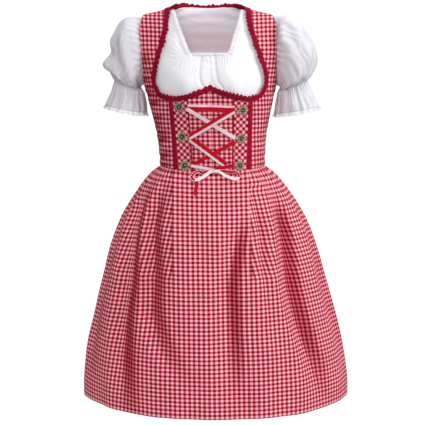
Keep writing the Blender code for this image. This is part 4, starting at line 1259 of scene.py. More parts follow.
    def side_front(self, side: Side, seam: int = 40, strap: int = 80, columns: int = 26) -> None:
        """Sew the side front with its strap.

        Args:
            side: The side that it is on.
            seam: How many marks its edges have up to the strap.
            strap: How many they have from there to the shoulder ridge.
            columns: How many marks it has across.
        """
        line = self.upright(self.band_x, seam)
        edge = [line[-1], *self.neckline_marks()[self.past_band:]]
        inner = np.vstack([line[:-1], FIGURE.through(edge, strap)])
        outer = self.side_edge(seam, strap)
        bottom = FIGURE.waist_marks(inner[0, 0], SIDE_SEAM, columns)
        top = blend(inner[-1], outer[-1], np.linspace(0.0, 1.0, columns)[:, None])
        self.piece("side_front", patch(bottom, top, inner, outer), Checks(*self.strap_check), side)

    def back(self, seam: int = 40, armhole: int = 60, steps: int = 4) -> None:
        """Sew the plain back.

        Args:
            seam: How many marks its edges have up to the underarm.
            armhole: How many they have from there to the shoulder ridge.
            steps: How many columns it has for each of its main ones.
        """
        marks = back_half(self.side_edge(seam, armhole), self.back_columns, steps, FIGURE.waist_z)
        points = both_halves(FIGURE.place(marks, self.worn(marks, self.sink)))
        flat = Checks(*self.strap_check).count(both_halves(BACK_RULER.measure(marks)) * MIRROR[:2])
        Sheet("bodice_back", points, flat, CHECKED, self.cloth).sew("stretched", "blouse_back")

    def strip(self, name: str, ends: tuple, section: tuple, side: Side) -> tuple[Array, Array]:
        """Sew a ribbon with a rounded section up a line of the front.

        Args:
            name: The piece's name, before the word for its side.
            ends: How far out the line lies at the waist and at its top.
            section: The ribbon's width, and how far its middle stands above its edges.
            side: The side that it is on.

        Returns:
            The ribbon's strands and the way out of the cloth along them, on the right half.
        """
        width, crown = section
        marks = self.upright(ends, 9)
        foot, head = blend(marks[0], marks[1], 0.03), blend(marks[-1], marks[-2], 0.45)
        marks = FIGURE.through([foot, *marks[1:-1], head], 80)
        share = np.linspace(-1.0, 1.0, 9)[:, None]
        aside = share * np.full(len(marks), width / 2)
        lift = self.strip_lift + crown * (1.0 - share**2) + self.worn(marks, 0.0)
        points = FIGURE.strip(marks, aside, lift)
        across = mirrored(points, pairs(aside, lengths_along(points[4])), side)
        Sheet(f"{name}_{side.word}", *across, RED_COTTON, THIN).sew("laid", f"side_front_{side.word}")
        return points, FIGURE.normal(marks)

    def stitch(self, name: str, points: Array, normal: Array, side: Side, proud: float = 0.0007) -> None:
        """Sew a line of stitches along both edges of a strip.

        Args:
            name: The strip's name, before the word for its side.
            points: The strip's strands, on the right half.
            normal: The way out of the cloth along them.
            side: The side that it is on.
            proud: How far out of the strands the stitches lie.
        """
        flip = MIRROR if side is Side.LEFT else 1.0
        way = slice(None, None, -1 if side is Side.LEFT else 1)
        lines = [(points[row] + normal * proud)[way] * flip for row in (1, -2)]
        Stitching(f"{name}_{side.word}_stitches", THREAD).sew(lines, [normal[way] * flip] * len(lines))

    def build(self, rows: int = 70) -> None:
        """Sew the whole bodice, with its front's pieces in some rows."""
        ends = (0.0, 0.0), self.edge_x, self.band_x
        centre, edge, band = (self.upright(pair, rows) for pair in ends)
        for side in Side:
            middle = Checks(*self.check, start=self.jog[side.index])
            self.front("centre_front", (centre, edge), 30, middle, side)
            self.front("placket", (edge, band), 24, Checks(*self.placket_check, self.bias), side)
            self.side_front(side)
            self.strip("placket_edge", self.edge_x, self.piping, side)
            strands, normal = self.strip("princess_band", self.band_x, self.band, side)
            self.stitch("princess_band", strands, normal, side)
        self.back()


@dataclass
class NeckTrim:
    """The gathered trim round the neckline, folded into little ruffles.

    Attributes:
        on_cloth: How far it lies on the bodice.
        within: How far it turns inside at the back.
        reach: How far its ruffles pass the neckline; back_reach is the same at the back.
        ruffle: The length of a ruffle.
        puff: How far a ruffle stands up.
    """

    on_cloth: float = 0.0098
    within: float = 0.0080
    reach: float = 0.0074
    back_reach: float = 0.0108
    ruffle: float = 0.0104
    puff: float = 0.0026
    shy: float = 0.0034
    lift: float = 0.0019
    back_lift: float = 0.0015
    back_air: float = 0.0018
    over: float = 0.6
    steps: int = 12
    strands: int = 15

    def profile(self, length: Array) -> tuple[Array, Array, Array]:
        """Section of the trim along its length.

        Args:
            length: How far along the trim each step lies.

        Returns:
            How far aside each strand lies, how far it stands up, and its share of the width.
        """
        place = length / self.ruffle + 0.55 * np.sin(length / 0.037) + 0.30 * np.sin(length / 0.0171 + 1.0)
        full = 0.68 + 0.32 * np.sin(length / 0.0083 + 1.9 * np.sin(length / 0.0213 + 2.0))
        share = np.linspace(0.0, 1.0, self.strands)[:, None]
        outer = self.reach * blend(0.22, 1.0, full * np.abs(np.sin(math.pi * place)) ** 0.65)
        drawn = full * (1.0 - np.abs(np.sin(math.pi * (place + 0.45))) ** 0.7)
        aside = blend(self.shy * drawn - self.on_cloth, outer, share)
        fold = 1.0 - np.abs((place + 0.55 * (share - 0.5)) % 1.0 - 0.5) * 2
        body = np.sin(math.pi * np.clip(share, 0.06, 0.94)) ** 0.6
        return aside, self.puff * blend(0.15, 1.0, fold**1.2 * full) * body, share

    def folded_over(self, aside: Array, stand: Array, share: Array) -> tuple[Array, Array]:
        """Fold the trim over the back's edge.

        Args:
            aside: How far aside each strand lies.
            stand: How far it stands up.
            share: Its share of the width.

        Returns:
            How far aside and how far out each strand lies.
        """
        inside = share > self.over
        around = np.where(inside, (share - self.over) / (1.0 - self.over), 0.0)
        outer = aside[-1] + self.back_reach - self.reach
        rising = blend(-self.on_cloth, outer, share / self.over)
        level = blend(self.back_lift + self.back_air, -self.back_air, smooth(around * 2.0))
        lift = level + np.where(inside, -stand[::-1] * np.sin(math.pi * around), stand)
        return np.where(inside, outer - (outer + self.within) * around, rising), lift

    def lay(self, name: str, marks: Array, back: bool) -> None:
        """Sew the trim along a line.

        Args:
            name: The piece's name.
            marks: The line's marks.
            back: Whether it lies on the back, folded over the edge.
        """
        fine = curve_through(marks)
        places = FIGURE.skin(fine)
        count = round(lengths_along(places)[-1] / self.ruffle)
        even = spaced(fine, places, count * self.steps + 1)
        length = np.arange(len(even)) * (self.ruffle / self.steps)
        aside, stand, share = self.profile(length)
        aside, lift = self.folded_over(aside, stand, share) if back else (aside, self.lift + stand)
        points = FIGURE.strip(even, aside, lift)
        under = ["bodice_back"] if back else ["side_front_left", "side_front_right"]
        flat = pairs(length, lengths_along(points, 0))
        Sheet(name, points, flat, RUFFLE_COTTON, THIN).sew("gathered", *under)

    def build(self, bodice: Bodice, apart: tuple = (1.0, 0.0003), count: int = 17) -> None:
        """Sew the trim round the neckline.

        Args:
            bodice: The bodice.
            apart: The gap between its two lengths on the shoulder, in degrees and in level.
            count: How many marks the back's line has.
        """
        right = bodice.neckline_marks()
        right[-1, 1] = FIGURE.shoulder_arc - apart[1]
        self.lay("neck_trim_front", np.vstack([right[:0:-1] * MIRROR[:2], right]), False)
        start = CENTRE_BACK - FIGURE.ridge_mark(FIGURE.neck_point_x)[0] + apart[0]
        angle = np.linspace(start, 2 * CENTRE_BACK - start, count)
        self.lay("neck_trim_back", pairs(angle, FIGURE.shoulder_arc), True)


# ---- the skirt


@dataclass(frozen=True)
class Fold:
    """A soft valley down the skirt.

    Attributes:
        at_waist: Its angle round the skirt at the waist.
        at_middle: Its angle half-way down.
        at_hem: Its angle at the hem.
        depth: How deep it is.
        left_width: How wide its left flank is, in degrees.
        right_width: How wide its right flank is.
        from_z: The height that it starts at.
        to_z: The height that it runs out at.
        dark: How much shade is painted on its right flank, from 0 to 1.
        takes: Whether it takes in some of the skirt's fullness.
        spread: How far its flanks run out past their widths.
        fade_in: The height over which it grows.
        fade_out: The height over which it runs out.
    """

    at_waist: float
    at_middle: float
    at_hem: float
    depth: float
    left_width: float
    right_width: float
    from_z: float
    to_z: float
    dark: float = 0.5
    takes: bool = True
    spread: float = 1.5
    fade_in: float = 0.10
    fade_out: float = 0.22

    def beside(self, angle: Array, down: Array) -> Array:
        """How far angles lie to the right of the valley, at shares of the way down."""
        upper = blend(self.at_waist, self.at_middle, smooth(down * 2))
        lower = blend(self.at_middle, self.at_hem, smooth(down * 2 - 1))
        return (angle - np.where(down < 0.5, upper, lower) + 180.0) % 360.0 - 180.0

    def fade(self, z: Array) -> Array:
        """How much of the fold there is at heights."""
        return smooth((self.from_z - z) / self.fade_in) * smooth((z - self.to_z) / self.fade_out)

    def drawn_in(self, angle: Array, down: Array) -> Array:
        """The share of the fold's depth at angles."""
        off = self.beside(angle, down)
        width = self.spread * np.where(off < 0, self.left_width, self.right_width)
        return np.cos(np.minimum(np.abs(off) / width, 1.0) * math.pi / 2) ** 2

    def shaded(self, angle: Array, down: Array) -> Array:
        """How much shade is painted on the cloth at angles."""
        off = self.beside(angle, down)
        flank = self.spread * self.right_width
        return self.dark * smooth((off + 1.5) / 3.0) * smooth((1.2 * flank - off) / (0.65 * flank))


# Each fold's dark value sets how much shade is painted on its right flank.
FOLDS = (
    Fold(-84, -79, -73, 0.010, 7.0, 8.0, -0.39, -1.00, dark=0.35),
    Fold(-64, -50.5, -43, 0.021, 8.0, 7.0, -0.39, -1.05, dark=0.95),
    Fold(-46, -34, -12, 0.021, 4.6, 6.5, -0.39, -0.92, dark=0.8, takes=False),
    Fold(-10, -6, -7, 0.004, 8.0, 8.0, -0.46, -0.80, dark=0.0, takes=False),
    Fold(22, 7, 6, 0.015, 8.0, 4.6, -0.47, -0.96, dark=0.85, takes=False),
    Fold(31, 26, 27, 0.008, 3.0, 3.2, -0.41, -0.74, dark=0.3),
    Fold(51, 42.5, 50, 0.025, 7.0, 5.8, -0.42, -1.00, dark=0.82),
    Fold(82, 76, 78, 0.009, 8.0, 8.0, -0.39, -1.00, dark=0.2),
    Fold(104, 101, 99, 0.014, 8.0, 6.0, -0.39, -1.02),
    Fold(121, 124, 122, 0.018, 7.0, 9.0, -0.40, -1.00),
    Fold(140, 147, 143, 0.014, 9.0, 6.0, -0.39, -0.94),
    Fold(160, 165, 167, 0.017, 7.0, 8.0, -0.40, -1.02),
    Fold(-176, -171, -173, 0.015, 8.0, 7.0, -0.39, -0.98),
    Fold(-157, -148, -151, 0.018, 9.0, 6.0, -0.39, -1.02),
    Fold(-138, -127, -125, 0.014, 7.0, 9.0, -0.41, -0.95),
    Fold(-116, -105, -101, 0.017, 8.0, 7.0, -0.39, -1.00),
)


@dataclass(frozen=True)
class Line:
    """A line down the skirt: its angle at each height.

    Attributes:
        rows: Heights, and how far right of the middle it lies at each.
        lift: How far a pressed pleat stands up on its right, or on its left if it is negative.
    """

    rows: tuple = ()
    angle: float = 0.0
    lift: float = 0.0
    rise: float = 0.016
    tuck: float = 0.010
    tucked: float = 0.6

    def at(self, z: Array, half_width: Array) -> Array:
        """The line's angles at heights, where the skirt has some half widths."""
        if not self.rows:
            return np.full_like(z, self.angle)
        return np.degrees(np.arcsin(courses(self.rows)[0].at(z) / half_width))

    def pressed(self, off: Array) -> Array:
        """How far the pleat lifts or tucks the cloth, at distances to the right of the line."""
        over = np.copysign(1.0, off) == np.copysign(1.0, self.lift)
        away = np.abs(off)
        under = -self.tucked * np.exp(-away / self.tuck)
        return abs(self.lift) * np.where(over, np.exp(-away / self.rise), under)


@dataclass
class Skirt:
    """The full skirt, in five panels, whose checks run on round the folds.

    Attributes:
        pleats: The lines of the left and the right pressed pleat.
        rows: Height, half width, front depth, back depth, share of the folds, flatness and roundness.
        pleat_foot: The heights over which the pressed pleats run out.
        tucked: How much cloth a pressed pleat hides per metre above its foot.
        tightness: How near to the middle of a fold its share of the fullness lies.
        most_taken: How much cloth the folds of a quarter take in at the most.
        even: The share of the fullness that the folds don't take in.
        cloth: The thickness of the cloth.
        check: The width and the height of a check.
        panels: How many steps a front side panel, the middle one and a back one have across.
    """

    pleats: tuple = (
        Line(
            (
                (-0.3793, -0.0975), (-0.4700, -0.0985), (-0.6200, -0.0995), (-0.8000, -0.0985),
                (-0.8700, -0.0880), (-0.9630, -0.0800),
            ),
            lift=0.0026,
        ),
        Line(
            (
                (-0.3793, 0.0860), (-0.4700, 0.0880), (-0.6200, 0.0900), (-0.7600, 0.0880),
                (-0.8700, 0.0840), (-0.9630, 0.0800),
            ),
            lift=-0.0026,
        ),
    )

    rows: tuple = (
        (-0.3793, 0.1275, 0.0925, 0.0825, 0.00, 2.30, 2.30),
        (-0.3825, 0.1275, 0.0925, 0.0825, 0.00, 2.30, 2.30),
        (-0.3920, 0.1430, 0.1040, 0.0960, 0.15, 2.25, 2.25),
        (-0.4080, 0.1605, 0.1170, 0.1120, 0.35, 2.20, 2.20),
        (-0.4350, 0.1825, 0.1320, 0.1300, 0.55, 2.15, 2.15),
        (-0.4700, 0.2065, 0.1490, 0.1500, 0.75, 2.10, 2.10),
        (-0.5200, 0.2340, 0.1700, 0.1730, 0.95, 2.10, 2.05),
        (-0.5850, 0.2570, 0.1900, 0.1950, 1.00, 2.15, 1.95),
        (-0.6650, 0.2785, 0.2080, 0.2150, 1.00, 2.25, 1.85),
        (-0.7550, 0.3035, 0.2230, 0.2310, 0.95, 2.35, 1.72),
        (-0.8450, 0.3235, 0.2330, 0.2420, 0.75, 2.45, 1.58),
        (-0.9100, 0.3315, 0.2390, 0.2470, 0.60, 2.55, 1.48),
        (-0.9630, 0.3335, 0.2430, 0.2510, 0.50, 2.60, 1.38),
    )
    hem_lift: float = -0.0022
    pleat_foot: tuple = (-0.74, -0.52)
    tucked: float = 0.26
    tightness: float = 5.0
    most_taken: float = 0.12
    even: float = 0.12
    gathers: float = 0.0009
    gather_count: float = 58.0
    soft: Bumps = Bumps(0.0009, 0.055, 11, (1.0, 1.0, 0.45))
    drape: Bumps = Bumps(0.0024, 0.11, 23, (1.0, 1.0, 0.22))
    cloth: float = 0.0010
    check: tuple = (0.0119, 0.0107)
    first_check: float = 0.25
    lean: float = 0.35
    back_seam: float = 176.0
    hem_turn: float = 0.022
    hem_pitch: float = 0.0052
    hem_edge: float = 0.0015
    levels: int = 121
    panels: tuple = (84, 76, 78)

    def __post_init__(self) -> None:
        """Set out the levels, and measure the cloth at each."""
        self.table = courses(self.rows)
        self.top, self.foot = self.rows[0][0], self.rows[-1][0]
        heights = np.linspace(self.foot, self.top, self.levels)
        self.heights = np.sort(np.append(heights, [self.foot + self.hem_edge, self.rows[1][0]]))
        self.half_width = self.table[0].at(self.heights)
        self.hem_lines, self.hem_normals = [], []
        self.measure()

    def way_down(self, z: Array) -> Array:
        """Shares of the way down at heights."""
        return (self.top - z) / (self.top - self.foot)

    def fold_depth(self, angle: Array, z: Array) -> Array:
        """How far the folds draw the skirt in."""
        down = self.way_down(z)
        return sum(fold.depth * fold.fade(z) * fold.drawn_in(angle, down) for fold in FOLDS)

    def fold_shade(self, angle: Array, z: Array) -> Array:
        """How much shade is painted into the folds, from 0 to 1."""
        down = self.way_down(z)
        return np.max([fold.fade(z) * fold.shaded(angle, down) for fold in FOLDS], axis=0)

    def place(self, angle: Array, z: Array, relief: Array | float = 0.0) -> Array:
        """Points of the skirt's inner face.

        Args:
            angle: Angles round it from the centre front, in degrees.
            z: Heights, as they are at the side.
            relief: How far the cloth is lifted.

        Returns:
            The points, before the stance moves them.
        """
        width, front_depth, back_depth, fold_share, flatness, roundness = (c.at(z) for c in self.table)
        across, ahead = np.sin(np.radians(angle)), np.cos(np.radians(angle))
        front = np.abs(angle) <= SIDE_SEAM
        bow = (1.0 - np.minimum(np.abs(across), 1.0) ** flatness) ** (1.0 / roundness)
        depth = np.where(front, front_depth, back_depth)
        y = np.where(front, -1.0, 1.0) * (FIGURE.seam / 2 + depth * bow)
        out = unit(np.stack([across * depth, y * width / depth, np.zeros_like(y)], axis=-1))
        drop = blend(-FIGURE.waist_dip, self.hem_lift, self.way_down(z)) * np.maximum(ahead, 0.0) ** 2
        drawn = fold_share * self.fold_depth(angle, z) - relief
        return np.stack([width * across, y, z + drop], axis=-1) - out * drawn[..., None]

    def measure(self) -> None:
        """Work out how the cloth lies round the skirt, at each height.

        It has the same width all the way down, so the folds take in more of it higher up.
        """
        z, angle = self.heights, np.linspace(-200.0, 200.0, 801)
        every, height = np.broadcast_arrays(angle[None], z[:, None])
        along = lengths_along(self.place(every, height), 1)
        steps = np.diff(along, axis=1, prepend=0.0)
        down = self.way_down(height)
        taken = sum(fold.depth * fold.takes * fold.drawn_in(every, down) ** self.tightness for fold in FOLDS)
        left, right = (line.at(z, self.half_width) for line in self.pleats)
        hidden = self.tucked * np.maximum(z - sum(self.pleat_foot) / 2, 0.0)
        quarters = (
            (-CENTRE_BACK, -SIDE_SEAM, 0.0),
            (-SIDE_SEAM, left, hidden + lengths_between(along, angle, left, 0.0)),
            (right, SIDE_SEAM, hidden + lengths_between(along, angle, 0.0, right)),
            (SIDE_SEAM, CENTRE_BACK, 0.0),
        )
        widened = steps
        for start, stop, before in quarters:
            first, last = (np.broadcast_to(end, z.shape)[:, None] for end in (start, stop))
            inside = (every > first) & (every <= last)
            length = lengths_between(along, angle, start, stop) + before
            spare = (length.max() - length)[:, None]
            spare = spare / (1.0 + (spare / self.most_taken) ** 4) ** 0.25
            for share, weight in ((self.even, inside * 1.0), (1.0 - self.even, inside * taken)):
                extra = weight * steps
                widened = widened + spare * share * extra / extra.sum(axis=1, keepdims=True)
        count = np.cumsum(widened, axis=1)
        self.table_angles, self.hidden = angle, hidden[:, None]
        self.cloth_table = count - count[:, [len(angle) // 2]]
        behind = [int(np.argmin(np.abs(angle - turn))) for turn in (CENTRE_BACK, -CENTRE_BACK)]
        self.back_shift = [self.cloth_table[:1, [at]] - self.cloth_table[:, [at]] for at in behind]

    def panel(self, name: str, lines: Sequence[Line], columns: int, shift: Array | float) -> None:
        """Sew a panel of the skirt.

        Args:
            name: Its name.
            lines: The lines along its left and its right edge.
            columns: How many steps it has round the skirt.
            shift: How far its checks are shifted at each height.
        """
        z = self.heights
        edges = [line.at(z, self.half_width)[:, None] for line in lines]
        pressed = (rise(z, *self.pleat_foot) * rise(z, self.top + 0.001, self.top - 0.017))[:, None]
        angle = blend(*edges, np.linspace(0.0, 1.0, columns + 1)[None])
        height = np.broadcast_to(z[:, None], angle.shape)
        reach = self.half_width[:, None] * TURN / 360
        relief = self.worn(angle, height)
        for line, edge, within in zip(lines, edges, (1e-9, -1e-9)):
            relief = relief + pressed * line.pressed((angle - edge) * reach + within)
        points = self.place(angle, height, relief)
        rows = zip(angle, self.cloth_table)
        across = np.array([np.interp(row, self.table_angles, table) for row, table in rows]) + shift
        upward = (z - z[0])[:, None] * math.hypot(1.0, self.lean)
        flat = Checks(*self.check, start=self.first_check).count(pairs(across, upward))
        # the folds' painted shade goes with the cloth
        piece = Sheet(name, points, flat, CHECKED, self.cloth, deep=self.fold_shade(angle, height))
        piece.sew("gathered", "side_front_left", "side_front_right", "bodice_back")
        row = int(np.argmin(np.abs(z - (self.foot + self.hem_turn))))
        normal = unit(np.cross(np.gradient(points[row], axis=0), points[row + 1] - points[row]))
        self.hem_lines.append(points[row] + normal * self.cloth)
        self.hem_normals.append(normal)

    def worn(self, angle: Array, z: Array) -> Array:
        """How far the cloth is lifted.

        Args:
            angle: Angles round the skirt.
            z: Heights, as they are at the side.

        Returns:
            The sum of the gathers at the waist, away from its front, and of both kinds of creases.
        """
        full, turn = self.place(angle, z), np.radians(angle)
        near = rise(z, -0.47, -0.40) * rise(z, self.top + 0.002, self.top - 0.008)
        wave = np.sin(turn * self.gather_count + 2.0 * np.sin(turn * 9.0))
        gathers = self.gathers * near * rise(np.abs(angle), 34.0, 48.0) * wave
        soft = self.soft.at(full) * rise(z, self.top - 0.02, self.top - 0.10)
        return gathers + soft + self.drape.at(full) * rise(z, self.top - 0.06, self.top - 0.26)

    def build(self) -> None:
        """Sew the whole skirt."""
        left, right = self.pleats
        left_side, right_side = Line(angle=-SIDE_SEAM), Line(angle=SIDE_SEAM)
        behind, round_back = Line(angle=self.back_seam), Line(angle=self.back_seam - 360.0)
        side, middle, back = self.panels
        self.panel("skirt_front_left", (left_side, left), side, -self.hidden)
        self.panel("skirt_front_middle", (left, right), middle, 0.0)
        self.panel("skirt_front_right", (right, right_side), side, self.hidden)
        self.panel("skirt_back_right", (right_side, behind), back, self.back_shift[0])
        self.panel("skirt_back_left", (round_back, left_side), back, self.back_shift[1])
        Stitching("skirt_hem_stitches", THREAD, self.hem_pitch).sew(self.hem_lines, self.hem_normals)


# ---- the blouse


@dataclass
class Blouse:
    """The blouse body: a gathered front, a plain back with its casing, and the lace at the neckline.

    Attributes:
        inset: How far it lies inside the bodice.
        side_line: The neckline's places from its lower corner up to the shoulder.
        crease_rows: Height, and the places of the left and the right crease between the cups.
        crease_widths: Half the width of each crease.
        hang: How high the gathers that hang from the lace stand, and how far apart they are.
        edge_gathers: The same for those along the bodice's edge.
        back_creases: How high the back's creases stand, below the casing and in it.
        front_steps: How many marks its neckline has in front, up its side and over the shoulder.
        edges: How many marks the side seam has, and the armhole in front and at the back.
        back_columns: How far out the back's main columns lie, from 0 at its middle to 1.
    """

    bodice: Bodice
    inset: float = 0.0055
    side_line: tuple = ((0.0450, -0.0975), (0.0520, -0.0840), (0.0610, -0.0580), (0.0730, -0.0240))
    neck_point_x: float = 0.0870
    crease_rows: tuple = (
        (-0.100, -0.0175, 0.0140), (-0.137, -0.0235, 0.0140), (-0.165, -0.0225, 0.0185),
        (-0.182, -0.0150, 0.0295), (-0.200, -0.0120, 0.0330),
    )
    crease_widths: tuple = (0.0036, 0.0034)
    crease_depth: float = 0.0036
    hem_z: float = -0.245
    tip_inset: float = 0.0080
    underarm_lift: float = 0.0040
    cloth: float = 0.0008
    rays: float = 0.0015
    hang: tuple = (0.0010, 0.0080)
    edge_gathers: tuple = (0.0004, 0.0110)
    uneven: Bumps = Bumps(1.0, 0.05, 3)
    patchy: Bumps = Bumps(1.0, 0.03, 5)
    soft: Bumps = Bumps(0.0012, 0.032, 8, (1.0, 1.0, 0.6))
    back_soft: Bumps = Bumps(1.0, 0.03, 17, (0.35, 1.0, 1.6))
    back_creases: tuple = (0.0012, 0.0034)
    casing: float = 0.045
    casing_step: float = 0.0008
    lace_width: float = 0.0105
    lace_proud: float = 0.0020
    lace_short: float = 0.0050
    lace_lift: float = 0.0018
    lace_ripple: float = 0.0005
    ripple_length: float = 0.011
    front_steps: tuple = (34, 46, 14)
    edges: tuple = (18, 76, 60)
    back_columns: tuple = (0.0, 0.15, 0.26, 0.34, 0.41, 0.48, 0.56, 0.76, 1.0)

    def edge(self, seam: int, armhole: int) -> Array:
        """Marks up the side seam and the armhole.

        Args:
            seam: How many marks the seam has.
            armhole: How many the armhole has.

        Returns:
            The marks, from the lower edge up.
        """
        heights = np.linspace(self.hem_z, self.bodice.underarm_z, seam)
        up = np.array([FIGURE.side_mark(z) for z in heights])
        spots = np.array(self.bodice.armhole)
        marks = FIGURE.mark_of(spots[:, 0] - self.tip_inset, spots[:, 1])
        corner = FIGURE.side_mark(self.bodice.underarm_z + self.underarm_lift)
        tip = FIGURE.ridge_mark(self.bodice.tip_x - self.tip_inset)
        return np.vstack([up[:-1], FIGURE.through([corner, *marks, tip], armhole)])

    def neck_side(self) -> list[Array]:
        """Marks from the neckline's lower corner up to the shoulder."""
        spots = np.array(self.side_line)
        return [*FIGURE.mark_of(spots[:, 0], spots[:, 1]), FIGURE.ridge_mark(self.neck_point_x)]

    def gathers(self, points: Array) -> Array:
        """How far gathers and creases lift the front.

        Args:
            points: Places on the front.

        Returns:
            The sum of the rays from the neckline's corners, the gathers that hang from its lace, those
            along the bodice's edge, the two creases between the cups, and the soft creases.
        """
        x, z = points[..., 0], points[..., 2]
        corner_x, corner_z = self.side_line[0]
        aside, up, uneven = np.abs(x), z - corner_z, self.uneven.at(points)
        away, turn = np.hypot(aside - corner_x, up), np.arctan2(up, aside - corner_x)
        rays = np.cos(24.0 * turn + 5.0 * uneven) * rise(away, 0.0, 0.012) * np.exp(-away / 0.032)
        rays = self.rays * rays * smooth(0.7 + self.patchy.at(points))
        below = rise(up, 0.004, -0.004)
        height, pitch = self.hang
        hang = height * np.cos(TURN * x / pitch + 4.5 * uneven) * np.exp(up / 0.020)
        hang = hang * below * rise(aside, corner_x + 0.01, corner_x)
        above = np.maximum(z - self.bodice.neckline_z(x), 0.0)
        height, pitch = self.edge_gathers
        foot = height * np.cos(TURN * x / pitch + 5.0 * uneven) * np.exp(-above / 0.010)
        foot = foot * rise(aside, 0.120, 0.100)
        lines = zip(courses(self.crease_rows), self.crease_widths)
        creases = sum(np.exp(-(((x - line.at(z)) / width) ** 2)) for line, width in lines)
        creases = self.crease_depth * creases * rise(z, -0.196, -0.166) * below
        return rays + hang + foot - creases + self.soft.at(points)

    def front(self) -> None:
        """Sew the gathered front."""
        level_steps, side_steps, strap_steps = self.front_steps
        outer = self.edge(*self.edges[:2])
        side = FIGURE.through(self.neck_side(), side_steps)
        corner, neck = side[0], side[-1]
        level = pairs(np.linspace(0.0, corner[0], level_steps)[:-1], corner[1])
        strap = blend(neck, outer[-1], np.linspace(0.0, 1.0, strap_steps)[1:, None])
        top = np.vstack([level, side, strap])
        hem = self.hem_z + FIGURE.shoulder_rise
        bottom = pairs(np.linspace(0.0, SIDE_SEAM, len(top)), hem)
        inner = pairs(0.0, blend(hem, corner[1], np.linspace(0.0, 1.0, len(outer))))
        marks = patch(bottom, top, inner, outer)
        marks = np.concatenate([marks[:, :0:-1] * MIRROR[:2], marks], axis=1)
        points = FIGURE.place(marks, self.gathers(FIGURE.skin(marks)) - self.inset)
        Sheet("blouse_front", points, flat_of(points), WHITE_COTTON, self.cloth).sew("gathered")

    def back(self, steps: int = 7) -> None:
        """Sew the plain back, with the casing at its top and some columns for each main one."""
        marks = back_half(self.edge(*self.edges[::2]), self.back_columns, steps, self.hem_z)
        half = FIGURE.skin(marks)
        edge = FIGURE.shoulder_line(half[..., 0]) - self.casing + 0.25 * np.abs(half[..., 0])
        step_in = rise(half[..., 2] - edge, 0.0, 0.003)
        soft = blend(*self.back_creases, step_in) * self.back_soft.at(half)
        points = both_halves(FIGURE.place(marks, soft - self.casing_step * step_in - self.inset))
        Sheet("blouse_back", points, flat_of(points), BACK_COTTON, self.cloth).sew("laid")

    def lay_lace(self, name: str, marks: Array, width: float, ripple: float, side: Side) -> None:
        """Sew a length of lace.

        Args:
            name: The piece's name.
            marks: The line that it runs along, on the right half.
            width: How far down the cloth it reaches.
            ripple: How far its edge ripples.
            side: The side that it is on.
        """
        share = np.linspace(0.0, 1.0, 9)[:, None]
        along = lengths_along(FIGURE.skin(marks))
        aside = blend(-width, self.lace_proud, share) + np.zeros(len(marks))
        wave = ripple * np.sin(along * TURN / self.ripple_length) * share
        points = FIGURE.strip(marks, aside, self.lace_lift - self.inset + wave)
        grid = mirrored(points, pairs(along, share), side)
        Sheet(name, *grid, WHITE_LACE, THIN).sew("laid", "blouse_front")

    def lace(self) -> None:
        """Sew the lace down both sides of the neckline and along its bottom."""
        side_line = self.neck_side()
        side_line[-1] = side_line[-1] - (0.0, self.lace_short)
        marks = FIGURE.through(side_line, 120)
        for side in Side:
            self.lay_lace(f"neck_lace_{side.word}", marks, self.lace_width, self.lace_ripple, side)
        angle, level = side_line[0]
        marks = pairs(np.linspace(-angle, angle, 101)[5:-5], level)
        self.lay_lace("neck_lace_front", marks, self.lace_width / 2, 0.0, Side.RIGHT)

    def build(self) -> None:
        """Sew the blouse body."""
        self.front()
        self.back()
        self.lace()


@dataclass(frozen=True)
class Gathers:
    """Gathers round a sleeve: how high they stand, how many go round, and how much they wander."""

    height: float
    count: int
    wander: float

    def at(self, turns: Array, uneven: Array) -> Array:
        """How far they lift the cloth at places round the sleeve."""
        return self.height * np.cos(self.count * turns + self.wander * uneven)


